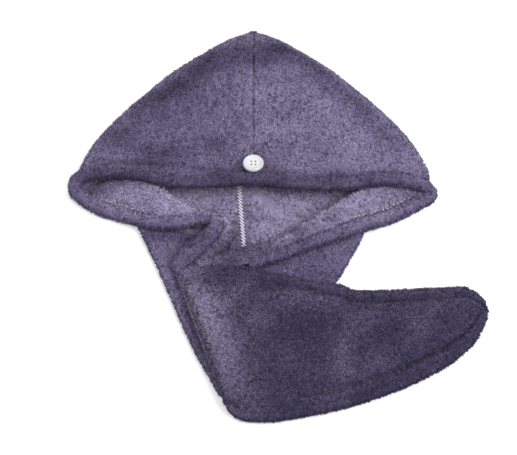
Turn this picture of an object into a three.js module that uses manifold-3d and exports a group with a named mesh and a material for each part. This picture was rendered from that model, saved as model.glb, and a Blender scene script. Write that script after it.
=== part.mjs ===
// A hair turban towel that lies flat: hood on top, mouth below its brim, tail folded over to the right.
// Millimetres, +Z up. X runs to the right, Y towards the top of the hood.
import * as THREE from "three";
import { mergeVertices } from "three/addons/utils/BufferGeometryUtils.js";
import Module from "manifold-3d";

const wasm = await Module();
wasm.setup();

// Driving sizes of the cloth
const wall = 3;
const clearance = 0.4;
const finestEdge = 0.05;
const foldHeight = 10;

// Driving sizes of the hood
const hoodHalfWidth = 143;
const hoodDepth = 141;
const crownLoft = 18;
const creaseDepth = 6;
const creaseFromApex = 40;
const creaseHalfLength = 46;
const creaseAbove = 5;
const creaseBelow = 12;
const creaseBend = 0.23;
const backDrop = 73;

// Driving sizes of the mouth's hems and lapels
const hemWidth = 12;
const hemThickness = 8.4;
const hemDrop = 82;
const hemLift = 20;
const lapelWidth = 32;
const lapelLift = 19;
const lapelTuck = 3.5;
const crestRadius = 3.8;

// Driving sizes of the tail
const tailHalfWidth = 90;
const tailBaseLength = 146;
const tailBaseHeight = 7;
const flapLength = 236;
const flapWidth = 126;
const flapEdge = 8.5;
const flapPuff = 12;
const flapDrape = 16;
const rimDepth = 1.6;

// Driving sizes of the button, the inner seam and the loop
const buttonDiameter = 16;
const buttonThickness = 3.2;
const buttonRim = 1.6;
const buttonRimHeight = 0.7;
const buttonHole = 1.7;
const buttonHolePitch = 3.2;
const buttonFromBrim = 9.7;
const overlockWidth = 3.8;
const overlockHeight = 2;
const overlockLength = 150;
const backSeamShift = 11;
const loopCord = 2.6;
const loopLength = 40;
const loopWidth = 16;
const loopInset = 41.2;
const loopBelow = 45.4;

const outsideFleece = { color: 0x655d78, roughness: 0.95, metalness: 0 };
const insideFleece = { color: 0x8c8498, roughness: 0.95, metalness: 0 };
const seamThread = { color: 0xe9e8ea, roughness: 0.7, metalness: 0 };
const buttonWhite = { color: 0xf4f4f2, roughness: 0.35, metalness: 0 };
const elastic = { color: 0x4d465c, roughness: 0.8, metalness: 0 };

// Outline of the hood from its mouth to its apex: up is a share of hoodDepth, out of hoodHalfWidth.
const hoodOutline = [
  { up: 0.0, out: 0.975 },
  { up: 0.1, out: 0.93 },
  { up: 0.27, out: 0.85 },
  { up: 0.42, out: 0.74 },
  { up: 0.6, out: 0.565 },
  { up: 0.73, out: 0.435 },
  { up: 0.84, out: 0.3 },
  { up: 0.92, out: 0.195 },
  { up: 0.965, out: 0.105 },
  { up: 1.0, out: 0.03 },
];

// Rise of the hood's front layer over its folds, across from left to right, as a share of the loft.
const hoodAcross = [
  { at: 0.0, rise: 0.0 },
  { at: 0.03, rise: 0.22 },
  { at: 0.08, rise: 0.5 },
  { at: 0.15, rise: 0.76 },
  { at: 0.24, rise: 0.92 },
  { at: 0.33, rise: 0.96 },
  { at: 0.42, rise: 0.99 },
  { at: 0.5, rise: 1.0 },
  { at: 0.58, rise: 0.99 },
  { at: 0.67, rise: 0.95 },
  { at: 0.76, rise: 0.9 },
  { at: 0.85, rise: 0.74 },
  { at: 0.92, rise: 0.48 },
  { at: 0.97, rise: 0.2 },
  { at: 1.0, rise: 0.0 },
];

// Loft of the front layer along the hood, as a share of crownLoft.
const hoodAlong = [
  { at: 0.0, loft: 0.97 },
  { at: 0.1, loft: 1.0 },
  { at: 0.24, loft: 1.0 },
  { at: 0.38, loft: 0.97 },
  { at: 0.5, loft: 0.92 },
  { at: 0.6, loft: 0.86 },
  { at: 0.68, loft: 0.8 },
  { at: 0.74, loft: 0.76 },
  { at: 0.79, loft: 0.76 },
  { at: 0.85, loft: 0.68 },
  { at: 0.91, loft: 0.48 },
  { at: 0.96, loft: 0.22 },
  { at: 1.0, loft: 0.0 },
];

// Centre line of the hem round the mouth, in three stretches: out is a share of hoodHalfWidth, drop of
// hemDrop below the brim's line and rise of hemLift, width and thick of the hem's own width and thickness.
// The left stretch runs from the ridge beside the flap, round its U-turn and along the lower edge to the nose.
const leftHemRows = [
  { out: -0.373, drop: 0.766, rise: 0.515, width: 1.1, thick: 1.05 },
  { out: -0.292, drop: 0.626, rise: 0.655, width: 1.15, thick: 1.1 },
  { out: -0.206, drop: 0.463, rise: 0.705, width: 1.0, thick: 1.1 },
  { out: -0.191, drop: 0.39, rise: 0.73, width: 0.85, thick: 1.1 },
  { out: -0.201, drop: 0.333, rise: 0.73, width: 0.75, thick: 1.1 },
  { out: -0.232, drop: 0.305, rise: 0.705, width: 0.8, thick: 1.1 },
  { out: -0.336, drop: 0.333, rise: 0.61, width: 1.0, thick: 1.0 },
  { out: -0.476, drop: 0.341, rise: 0.49, width: 1.0, thick: 1.0 },
  { out: -0.552, drop: 0.313, rise: 0.38, width: 1.05, thick: 1.0 },
  { out: -0.629, drop: 0.244, rise: 0.15, width: 1.1, thick: 0.9 },
  { out: -0.783, drop: 0.139, rise: 0.005, width: 1.1, thick: 0.9 },
  { out: -0.923, drop: 0.004, rise: 0.02, width: 1.0, thick: 1.0 },
  { out: -0.958, drop: -0.063, rise: 0.07, width: 1.0, thick: 1.05 },
];
const brimRows = [
  { out: -0.962, drop: -0.134, rise: 0.16, width: 1.0, thick: 1.05 },
  { out: -0.93, drop: -0.19, rise: 0.28, width: 1.0, thick: 1.0 },
  { out: -0.885, drop: -0.21, rise: 0.39, width: 1.0, thick: 1.0 },
  { out: -0.811, drop: -0.207, rise: 0.54, width: 1.0, thick: 1.0 },
  { out: -0.727, drop: -0.191, rise: 0.69, width: 1.0, thick: 1.0 },
  { out: -0.605, drop: -0.146, rise: 0.84, width: 0.95, thick: 0.95 },
  { out: -0.473, drop: -0.066, rise: 0.93, width: 0.85, thick: 0.9 },
  { out: -0.329, drop: -0.032, rise: 0.965, width: 0.85, thick: 0.95 },
  { out: -0.173, drop: -0.048, rise: 0.99, width: 0.95, thick: 1.0 },
  { out: -0.007, drop: -0.061, rise: 1.0, width: 0.95, thick: 1.0 },
  { out: 0.143, drop: -0.033, rise: 1.0, width: 0.95, thick: 1.0 },
  { out: 0.416, drop: 0.0, rise: 0.97, width: 0.85, thick: 0.9 },
  { out: 0.549, drop: -0.034, rise: 0.93, width: 0.9, thick: 0.9 },
  { out: 0.687, drop: -0.09, rise: 0.82, width: 1.0, thick: 0.95 },
  { out: 0.79, drop: -0.105, rise: 0.66, width: 1.05, thick: 1.0 },
  { out: 0.881, drop: -0.1, rise: 0.44, width: 1.0, thick: 1.0 },
  { out: 0.934, drop: -0.083, rise: 0.265, width: 0.9, thick: 1.0 },
];
const rightHemRows = [
  { out: 0.962, drop: -0.037, rise: 0.11, width: 0.8, thick: 1.0 },
  { out: 0.941, drop: 0.02, rise: 0.03, width: 0.9, thick: 0.95 },
  { out: 0.824, drop: 0.122, rise: 0.005, width: 1.1, thick: 0.9 },
  { out: 0.668, drop: 0.256, rise: 0.1, width: 1.1, thick: 0.95 },
  { out: 0.49, drop: 0.415, rise: 0.39, width: 1.0, thick: 1.0 },
  { out: 0.23, drop: 0.61, rise: 0.47, width: 0.85, thick: 0.95 },
  { out: 0.03, drop: 0.75, rise: 0.45, width: 0.8, thick: 0.9 },
];

// The upper ridge beside the right hem runs on past the hem's end, to the flap.
const rightRidgeEnd = { out: -0.16, drop: 0.84, rise: 0.38, width: 0.8, thick: 0.9 };

// Lapels from the nose inwards: at is a share of the way along the hem, reach of lapelWidth, rise of lapelLift.
const leftLapelRows = [
  { at: 0.106, reach: 0.58, rise: 0.5 },
  { at: 0.18, reach: 0.78, rise: 0.65 },
  { at: 0.254, reach: 0.92, rise: 0.74 },
  { at: 0.323, reach: 0.95, rise: 0.83 },
  { at: 0.37, reach: 0.92, rise: 0.93 },
  { at: 0.434, reach: 0.85, rise: 0.97 },
  { at: 0.503, reach: 0.72, rise: 0.98 },
  { at: 0.571, reach: 0.5, rise: 1.0 },
  { at: 0.608, reach: 0.4, rise: 1.0 },
  { at: 0.646, reach: 0.34, rise: 1.0 },
  { at: 0.688, reach: 0.34, rise: 1.02 },
  { at: 0.741, reach: 0.38, rise: 0.98 },
  { at: 0.778, reach: 0.42, rise: 0.92 },
  { at: 0.815, reach: 0.45, rise: 0.86 },
  { at: 0.87, reach: 0.36, rise: 0.86 },
];
const rightLapelRows = [
  { at: 0.103, reach: 0.52, rise: 0.58 },
  { at: 0.163, reach: 0.7, rise: 0.7 },
  { at: 0.25, reach: 0.8, rise: 0.82 },
  { at: 0.304, reach: 0.76, rise: 0.92 },
  { at: 0.363, reach: 0.71, rise: 0.98 },
  { at: 0.434, reach: 0.68, rise: 1.0 },
  { at: 0.521, reach: 0.58, rise: 1.0 },
  { at: 0.597, reach: 0.48, rise: 1.0 },
  { at: 0.694, reach: 0.4, rise: 1.0 },
  { at: 0.814, reach: 0.4, rise: 1.0 },
  { at: 0.922, reach: 0.4, rise: 0.98 },
];

// Route of the seam down the back: up is a share of apexY, shift of backSeamShift to the left.
const backSeamRows = [
  { up: -0.45, shift: 0.55 },
  { up: 0.07, shift: 1.0 },
  { up: 0.93, shift: 0.0 },
  { up: 1.03, shift: 0.0 },
];

// Outline of the tail's base: down is a share of tailBaseLength, left and right of tailHalfWidth.
const tailBaseRows = [
  { down: 0.0, left: 1.0, right: 0.98 },
  { down: 0.12, left: 0.91, right: 0.9 },
  { down: 0.25, left: 0.82, right: 0.79 },
  { down: 0.4, left: 0.72, right: 0.66 },
  { down: 0.55, left: 0.62, right: 0.54 },
  { down: 0.7, left: 0.52, right: 0.4 },
  { down: 0.85, left: 0.4, right: 0.26 },
  { down: 1.0, left: 0.27, right: 0.12 },
];

// Edges of the flap from its fold to its tip: along is a share of flapLength, down of flapWidth.
const flapRows = [
  { topAlong: 0.0, topDown: 0.015, lowAlong: 0.165, lowDown: 0.9, puff: 0.3 },
  { topAlong: 0.06, topDown: 0.0, lowAlong: 0.195, lowDown: 0.965, puff: 0.75 },
  { topAlong: 0.16, topDown: 0.005, lowAlong: 0.265, lowDown: 1.0, puff: 0.95 },
  { topAlong: 0.27, topDown: 0.035, lowAlong: 0.36, lowDown: 0.985, puff: 1.0 },
  { topAlong: 0.39, topDown: 0.095, lowAlong: 0.47, lowDown: 0.945, puff: 0.9 },
  { topAlong: 0.51, topDown: 0.14, lowAlong: 0.58, lowDown: 0.89, puff: 1.0 },
  { topAlong: 0.63, topDown: 0.16, lowAlong: 0.69, lowDown: 0.82, puff: 0.85 },
  { topAlong: 0.75, topDown: 0.155, lowAlong: 0.79, lowDown: 0.73, puff: 0.8 },
  { topAlong: 0.86, topDown: 0.145, lowAlong: 0.88, lowDown: 0.625, puff: 0.65 },
  { topAlong: 0.94, topDown: 0.15, lowAlong: 0.95, lowDown: 0.495, puff: 0.5 },
  { topAlong: 0.985, topDown: 0.2, lowAlong: 0.99, lowDown: 0.36, puff: 0.35 },
];

// Rise of the flap's upper layer across, from its top edge to its lower edge, with a rim at both.
const flapAcross = [
  { at: 0.0, rise: 0.0, rim: 0 },
  { at: 0.035, rise: 0.1, rim: 0.6 },
  { at: 0.085, rise: 0.16, rim: -1 },
  { at: 0.14, rise: 0.45, rim: 0 },
  { at: 0.26, rise: 0.8, rim: 0 },
  { at: 0.4, rise: 1.0, rim: 0 },
  { at: 0.56, rise: 0.95, rim: 0 },
  { at: 0.72, rise: 0.8, rim: 0 },
  { at: 0.84, rise: 0.5, rim: 0 },
  { at: 0.91, rise: 0.2, rim: -1 },
  { at: 0.96, rise: 0.1, rim: 0.6 },
  { at: 1.0, rise: 0.0, rim: 0 },
];

// Places that several pieces share
const mouthY = 15;
const apexY = mouthY + hoodDepth;
const notchCurve = 0.9;
const flapLeftX = -60;
const flapTopY = -63.5;
const flapFloor = loopCord + clearance;

// Table lookup with straight steps between the rows of column key.
function lookup(rows, key, at, column = "at") {
  let i = 1;
  while (i < rows.length - 1 && rows[i][column] < at) i += 1;
  const low = rows[i - 1];
  const high = rows[i];
  const t = THREE.MathUtils.clamp((at - low[column]) / (high[column] - low[column]), 0, 1);
  return THREE.MathUtils.lerp(low[key], high[key], t);
}

// Smooth curve through one 3D point for each row of a table.
function curveThrough(rows, pointOf) {
  return new THREE.CatmullRomCurve3(rows.map(pointOf), false, "centripetal");
}

function bell(distance, halfWidth) {
  return Math.exp(-((distance / halfWidth) ** 2));
}

// Grid normals by central differences, turned so that the sample vertex faces up.
function gridNormals(grid, closed, sample) {
  const count = grid[0].length;
  const normals = grid.map((row, j) =>
    row.map((_, i) => {
      const before = closed ? (i + count - 1) % count : Math.max(i - 1, 0);
      const after = closed ? (i + 1) % count : Math.min(i + 1, count - 1);
      const across = row[after].clone().sub(row[before]);
      const last = grid[Math.min(j + 1, grid.length - 1)][i];
      const first = grid[Math.max(j - 1, 0)][i];
      return across.cross(last.clone().sub(first)).normalize();
    }),
  );
  const flip = normals[sample[0]][sample[1]].z < 0 ? -1 : 1;
  normals.forEach((row) => row.forEach((normal) => normal.multiplyScalar(flip)));
  return { normals, flip };
}

// Closed cloth wall under a grid of outer points. A closed grid is a tube, and capEnd shuts its last ring:
// the skin closes over the last ring and the hollow over the ring before it.
function clothWall(grid, { closed = false, capEnd = false, foldSteps = 0, sample = [0, 0] }) {
  const rows = grid.length;
  const count = grid[0].length;
  const { normals, flip } = gridNormals(grid, closed, sample);
  const inner = grid.map((row, j) =>
    row.map((point, i) => point.clone().addScaledVector(normals[j][i], -wall)),
  );
  const points = [...grid.flat(), ...inner.flat()];
  const outerAt = (j, i) => j * count + (i % count);
  const innerAt = (j, i) => rows * count + outerAt(j, i);
  const triangles = [];
  const quad = (a, b, c, d) => {
    const corners = flip > 0 ? [a, b, c, d] : [d, c, b, a];
    triangles.push([corners[0], corners[1], corners[2]], [corners[0], corners[2], corners[3]]);
  };
  const spans = closed ? count : count - 1;
  const innerRows = capEnd ? rows - 1 : rows;
  for (let i = 0; i < spans; i += 1) {
    for (let j = 0; j < rows - 1; j += 1)
      quad(outerAt(j, i), outerAt(j, i + 1), outerAt(j + 1, i + 1), outerAt(j + 1, i));
    for (let j = 0; j < innerRows - 1; j += 1)
      quad(innerAt(j + 1, i), innerAt(j + 1, i + 1), innerAt(j, i + 1), innerAt(j, i));
    quad(innerAt(0, i), innerAt(0, i + 1), outerAt(0, i + 1), outerAt(0, i));
    if (!capEnd)
      quad(outerAt(rows - 1, i), outerAt(rows - 1, i + 1), innerAt(rows - 1, i + 1), innerAt(rows - 1, i));
  }
  if (!closed)
    for (let j = 0; j < rows - 1; j += 1) {
      quad(outerAt(j, 0), outerAt(j + 1, 0), innerAt(j + 1, 0), innerAt(j, 0));
      quad(innerAt(j, count - 1), innerAt(j + 1, count - 1), outerAt(j + 1, count - 1), outerAt(j, count - 1));
    }
  if (capEnd) {
    const steps = count / 2 - foldSteps;
    const mirror = (i) => (2 * steps + foldSteps - i + count) % count;
    const wrapped = (i) => (i + count) % count;
    for (let i = -foldSteps / 2; i < steps + foldSteps / 2; i += 1) {
      const [a, b, c, d] = [wrapped(i), wrapped(i + 1), mirror(i + 1), mirror(i)];
      quad(outerAt(rows - 1, a), outerAt(rows - 1, b), outerAt(rows - 1, c), outerAt(rows - 1, d));
      quad(innerAt(rows - 2, d), innerAt(rows - 2, c), innerAt(rows - 2, b), innerAt(rows - 2, a));
    }
  }
  return closedGeometry(points, triangles);
}

function closedGeometry(points, triangles) {
  const geometry = new THREE.BufferGeometry();
  geometry.setAttribute("position", new THREE.Float32BufferAttribute(points.flatMap((p) => p.toArray()), 3));
  geometry.setIndex(triangles.filter(([a, b, c]) => a !== b && b !== c && c !== a).flat());
  return geometry;
}

// One ring of a flattened tube: upper layer, right fold, lower layer, left fold.
function flatRing(upper, lower, foldSteps) {
  const left = upper[0];
  const right = upper[upper.length - 1];
  const outward = right.clone().sub(left).setZ(0).normalize();
  const fold = (from, to, direction) => {
    const middle = from.clone().add(to).multiplyScalar(0.5);
    const half = from.clone().sub(middle);
    const bulge = Math.abs(half.z);
    return Array.from({ length: foldSteps - 1 }, (_, k) => {
      const angle = (Math.PI * (k + 1)) / foldSteps;
      return middle
        .clone()
        .addScaledVector(half, Math.cos(angle))
        .addScaledVector(direction, bulge * Math.sin(angle));
    });
  };
  const under = [...lower].reverse();
  return [
    ...upper,
    ...fold(right, under[0], outward),
    ...under,
    ...fold(under[under.length - 1], left, outward.clone().negate()),
  ];
}

// Fat turned hem: an oval section swept along a curve, grown by a margin, its ends rounded off.
function rollAlong(curve, steps, sizeAt, { sides = 8, margin = 0 } = {}) {
  const endShares = [0.45, 0.85];
  const flat = 1 / Math.cos(Math.PI / sides);
  const points = [];
  const triangles = [];
  for (let j = 0; j <= steps; j += 1) {
    const t = j / steps;
    const centre = curve.getPointAt(t);
    const forward = curve.getTangentAt(t).setZ(0).normalize();
    const side = new THREE.Vector3(-forward.y, forward.x, 0);
    const scale = endShares[Math.min(j, steps - j)] ?? 1;
    const { width, thickness } = sizeAt(t);
    for (let i = 0; i < sides; i += 1) {
      const angle = (2 * Math.PI * (i + 0.5)) / sides;
      const across = (Math.cos(angle) * flat * (width * scale + 2 * margin)) / 2;
      const up = (Math.sin(angle) * flat * (thickness * scale + 2 * margin)) / 2;
      points.push(centre.clone().addScaledVector(side, across).setZ(centre.z + up));
    }
  }
  for (let j = 0; j < steps; j += 1)
    for (let i = 0; i < sides; i += 1) {
      const [a, b] = [j * sides + i, j * sides + ((i + 1) % sides)];
      triangles.push([a, b, b + sides], [a, b + sides, a + sides]);
    }
  const end = steps * sides;
  for (let i = 1; i < sides - 1; i += 1) triangles.push([0, i + 1, i], [end, end + i, end + i + 1]);
  return closedGeometry(points, triangles);
}

function solidFrom(geometry) {
  const bare = new THREE.BufferGeometry();
  bare.setAttribute("position", geometry.getAttribute("position"));
  bare.setIndex(geometry.getIndex());
  const merged = mergeVertices(bare, 1e-4);
  return new wasm.Manifold(
    new wasm.Mesh({
      numProp: 3,
      vertProperties: merged.getAttribute("position").array,
      triVerts: new Uint32Array(merged.getIndex().array),
    }),
  );
}

// Mesh of a solid, without the tiny edges that a cut leaves.
function geometryFrom(solid) {
  const mesh = solid.asOriginal().simplify(finestEdge).getMesh();
  const geometry = new THREE.BufferGeometry();
  geometry.setAttribute("position", new THREE.BufferAttribute(mesh.vertProperties.slice(), 3));
  geometry.setIndex(new THREE.BufferAttribute(mesh.triVerts.slice(), 1));
  return geometry;
}

// The largest body of a solid that a cut may have left in several.
function largest(solid) {
  return solid.decompose().sort((a, b) => b.volume() - a.volume())[0];
}

function named(name, geometry, look) {
  const mesh = new THREE.Mesh(geometry, new THREE.MeshStandardMaterial(look));
  mesh.name = name;
  return mesh;
}

// Hems round the mouth: the lower ones run on into the noses and are cut back to the brim
function hemPoint({ out, drop, rise }) {
  return new THREE.Vector3(out * hoodHalfWidth, -drop * hemDrop, hemThickness / 2 + rise * hemLift);
}

// Width and thickness of a hem at a share of its curve.
function hemSize(curve, rows, t) {
  const place = curve.getUtoTmapping(t) * (rows.length - 1);
  const i = Math.min(Math.floor(place), rows.length - 2);
  const mix = (key) => THREE.MathUtils.lerp(rows[i][key], rows[i + 1][key], place - i);
  return { width: mix("width") * hemWidth, thickness: mix("thick") * hemThickness };
}

function hemRoll(rows, steps, margin = 0) {
  const curve = curveThrough(rows, hemPoint);
  return solidFrom(rollAlong(curve, steps, (t) => hemSize(curve, rows, t), { margin }));
}

const brimSteps = 84;
const lowerHemSteps = 52;
const leftPath = [...leftHemRows, ...brimRows.slice(0, 2)];
const rightPath = [...brimRows.slice(-2), ...rightHemRows];
const brimSeat = hemRoll(brimRows, brimSteps, clearance);
const hemSeat = brimSeat
  .add(hemRoll(leftPath, lowerHemSteps, clearance))
  .add(hemRoll(rightPath, lowerHemSteps, clearance));
const brimHem = hemRoll(brimRows, brimSteps);
const leftLowerHem = largest(hemRoll(leftPath, lowerHemSteps).subtract(brimSeat));
const rightLowerHem = largest(hemRoll(rightPath, lowerHemSteps).subtract(brimSeat));

// The brim's centre line over a place across the mouth.
const brimCurve = curveThrough(brimRows, hemPoint);
const brimPlaces = brimCurve.getPoints(brimSteps);

function brimAt(x) {
  return brimPlaces.reduce((best, point) => (Math.abs(point.x - x) < Math.abs(best.x - x) ? point : best));
}

// Hood: a flattened tube, open at the mouth and shut at the apex
const hoodFoldSteps = 4;

function hoodFrontZ(x, across, along) {
  const height = foldHeight + crownLoft * lookup(hoodAcross, "rise", across) * lookup(hoodAlong, "loft", along);
  const above = along * hoodDepth - (hoodDepth - creaseFromApex - creaseBend * Math.abs(x));
  const crease = bell(above, above > 0 ? creaseAbove : creaseBelow) * bell(x, creaseHalfLength);
  return height - creaseDepth * crease;
}

function hoodRing(along) {
  const halfWidth = lookup(hoodOutline, "out", along, "up") * hoodHalfWidth;
  const y = mouthY + along * hoodDepth;
  const reach = Math.max(halfWidth - foldHeight / 2, halfWidth * 0.3);
  const upper = hoodAcross.map(({ at }) => {
    const x = (2 * at - 1) * reach;
    const edge = brimAt(x).y + hemWidth / 2 + clearance;
    const frontY = THREE.MathUtils.lerp(edge, apexY, along);
    return new THREE.Vector3(x, frontY, hoodFrontZ(x, at, along));
  });
  const lower = hoodAcross.map(({ at }) => {
    const x = (2 * at - 1) * reach;
    const edge = mouthY - backDrop * (1 - Math.abs(2 * at - 1)) ** notchCurve;
    return new THREE.Vector3(x, THREE.MathUtils.lerp(edge, apexY, along), 0);
  });
  upper[0].y = lower[0].y = y;
  upper[upper.length - 1].y = lower[lower.length - 1].y = y;
  return flatRing(upper, lower, hoodFoldSteps);
}

const hoodShell = solidFrom(
  clothWall(
    hoodAlong.map(({ at }) => hoodRing(at)),
    { closed: true, capEnd: true, foldSteps: hoodFoldSteps, sample: [3, 7] },
  ),
);

// The centre seam parts the two panels, on the front and, a little to the left, on the back.
const backLayerTop = foldHeight / 2;
const frontCut = new THREE.BoxGeometry(clearance, 2 * apexY, 2 * apexY);
frontCut.translate(0, apexY / 2, apexY + backLayerTop - 1);

function seamPoint({ up, shift }) {
  return new THREE.Vector3(-shift * backSeamShift, up * apexY, 0);
}

function seamX(y) {
  return -backSeamShift * lookup(backSeamRows, "shift", y / apexY, "up");
}

function backCut(from, to) {
  const step = to.clone().sub(from);
  const slab = new THREE.BoxGeometry(clearance, step.length() + clearance, 2 * backLayerTop);
  slab.rotateZ(-Math.atan2(step.x, step.y));
  slab.translate((from.x + to.x) / 2, (from.y + to.y) / 2, 0);
  return solidFrom(slab);
}

const seamPoints = backSeamRows.map(seamPoint);
const backCuts = seamPoints.slice(1).map((to, k) => backCut(seamPoints[k], to));
const panels = [hemSeat, solidFrom(frontCut), ...backCuts]
  .reduce((shell, cutter) => shell.subtract(cutter), hoodShell)
  .decompose()
  .sort((a, b) => b.volume() - a.volume())
  .slice(0, 2)
  .sort((a, b) => a.boundingBox().min[0] - b.boundingBox().min[0]);

// Lapels: from the hem's inner side up to a crest, round it and a little way back under it
const lapelSteps = 46;
const crestSteps = 4;

function lapel(hemRows, rows, inward) {
  const curve = curveThrough(hemRows, hemPoint);
  const floor = wall + clearance;
  const grid = Array.from({ length: lapelSteps + 1 }, (_, k) => {
    const at = THREE.MathUtils.lerp(rows[0].at, rows[rows.length - 1].at, k / lapelSteps);
    const [reach, rise] = [lookup(rows, "reach", at), lookup(rows, "rise", at)];
    const centre = curve.getPointAt(at);
    const forward = curve.getTangentAt(at).setZ(0).normalize();
    const side = new THREE.Vector3(-forward.y, forward.x, 0).multiplyScalar(inward);
    const foot = hemSize(curve, hemRows, at).width / 2 + clearance;
    const crestAway = Math.max(reach * lapelWidth - crestRadius, foot + wall);
    const crestZ = Math.max(rise * lapelLift, floor + 2 * crestRadius);
    const low = THREE.MathUtils.clamp(centre.z, floor + wall, crestZ);
    const place = (distance, z) => centre.clone().addScaledVector(side, distance).setZ(z);
    const face = [0, 0.3, 0.65, 1].map((s) =>
      place(THREE.MathUtils.lerp(foot, crestAway, s), THREE.MathUtils.lerp(low, crestZ, Math.sin((s * Math.PI) / 2))),
    );
    const crest = Array.from({ length: crestSteps }, (_, k) => {
      const angle = (Math.PI * (k + 1)) / crestSteps;
      return place(
        crestAway + crestRadius * Math.sin(angle),
        crestZ - crestRadius + crestRadius * Math.cos(angle),
      );
    });
    return [...face, ...crest, place(Math.max(crestAway - lapelTuck, foot), crestZ - 2 * crestRadius)];
  });
  return clothWall(grid, { sample: [2, 1] });
}

// Tail base: a flattened tube from under the hems, open at both ends
const tailFoldSteps = 4;
const tailAcross = [0, 0.12, 0.3, 0.5, 0.7, 0.88, 1];
const tailTopY = -22;
const tailNotchY = mouthY - backDrop - clearance;
const tailTuck = 12;
const tailEndY = tailTopY - tailBaseLength;

function tailBaseRing({ down, left, right }) {
  const x = (at) =>
    THREE.MathUtils.lerp(-left * tailHalfWidth + tailBaseHeight / 2, right * tailHalfWidth - tailBaseHeight / 2, at);
  const layer = (tuck, z) =>
    tailAcross.map((at) => {
      const startY = THREE.MathUtils.lerp(tailTopY, tailNotchY + tuck, (1 - Math.abs(2 * at - 1)) ** notchCurve);
      return new THREE.Vector3(x(at), THREE.MathUtils.lerp(startY, tailEndY, down), z);
    });
  return flatRing(layer(tailTuck, tailBaseHeight), layer(0, 0), tailFoldSteps);
}

const tailBase = largest(
  solidFrom(
    clothWall(tailBaseRows.map(tailBaseRing), { closed: true, foldSteps: tailFoldSteps, sample: [2, 3] }),
  ).subtract(hemSeat),
);

// Tail flap: a flattened leaf on top of the base, open at its fold and shut at its tip
const flapFoldSteps = 4;

function supportUnder(x, y) {
  const down = (tailTopY - y) / tailBaseLength;
  const edge = (key) => lookup(tailBaseRows, key, down, "down") * tailHalfWidth;
  const aside = Math.max(x - edge("right") - flapDrape, 0) / flapDrape;
  const below = Math.max(tailEndY - y - flapDrape / 3, 0) / (flapDrape * 0.7);
  const onBase = (tailBaseHeight + clearance) * THREE.MathUtils.clamp(1 - Math.hypot(aside, below), 0, 1);
  const onLoop = flapFloor * THREE.MathUtils.smoothstep(x, 0.5 * flapLength + flapLeftX, 0.75 * flapLength + flapLeftX);
  return Math.max(onBase, onLoop);
}

function flapRing({ topAlong, topDown, lowAlong, lowDown, puff }) {
  const top = new THREE.Vector3(flapLeftX + topAlong * flapLength, flapTopY - topDown * flapWidth, 0);
  const low = new THREE.Vector3(flapLeftX + lowAlong * flapLength, flapTopY - lowDown * flapWidth, 0);
  const inset = flapEdge / 2 / top.distanceTo(low);
  const place = (at) => top.clone().lerp(low, THREE.MathUtils.lerp(inset, 1 - inset, at));
  const lower = flapAcross.map(({ at }) => {
    const point = place(at);
    return point.setZ(supportUnder(point.x, point.y));
  });
  const upper = flapAcross.map(({ at, rise, rim }) => {
    const point = place(at);
    return point.setZ(supportUnder(point.x, point.y) + flapEdge + rise * puff * flapPuff + rim * rimDepth);
  });
  return flatRing(upper, lower, flapFoldSteps);
}

const tailFlap = largest(
  solidFrom(
    clothWall(flapRows.map(flapRing), { closed: true, capEnd: true, foldSteps: flapFoldSteps, sample: [3, 5] }),
  ).subtract(hemSeat),
);

// Overlocked seam inside the back
const overlockSteps = 20;

function overlock() {
  const startY = tailNotchY + tailTuck + wall + clearance;
  const stops = Array.from({ length: overlockSteps + 1 }, (_, k) => startY + (overlockLength * k) / overlockSteps);
  const line = curveThrough(stops, (y) => new THREE.Vector3(seamX(y), y, wall + clearance + overlockHeight / 2));
  return rollAlong(line, overlockSteps, () => ({ width: overlockWidth, thickness: overlockHeight }), { sides: 6 });
}

// Button: a turned disc with a raised rim and four holes
const buttonSides = 32;
const holeSides = 10;

function button() {
  const radius = buttonDiameter / 2;
  const profile = [
    [0, 0],
    [radius - buttonRim, 0],
    [radius, buttonThickness / 2],
    [radius - buttonRim / 4, buttonThickness + buttonRimHeight / 2],
    [radius - buttonRim / 2, buttonThickness + buttonRimHeight],
    [radius - buttonRim, buttonThickness],
    [0, buttonThickness - buttonRimHeight / 2],
  ].map(([r, z]) => new THREE.Vector2(r, z));
  const disc = new THREE.LatheGeometry(profile, buttonSides);
  disc.rotateX(Math.PI / 2);
  let solid = solidFrom(disc);
  for (const sx of [-1, 1])
    for (const sy of [-1, 1]) {
      const hole = new THREE.CylinderGeometry(buttonHole / 2, buttonHole / 2, 4 * buttonThickness, holeSides);
      hole.rotateX(Math.PI / 2);
      hole.translate((sx * buttonHolePitch) / 2, (sy * buttonHolePitch) / 2, 0);
      solid = solid.subtract(solidFrom(hole));
    }
  return geometryFrom(solid);
}

// Elastic loop: a cord bent to a long loop, flat on the surface
const bendSteps = 10;
const loopSteps = 36;
const cordSides = 8;

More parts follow.
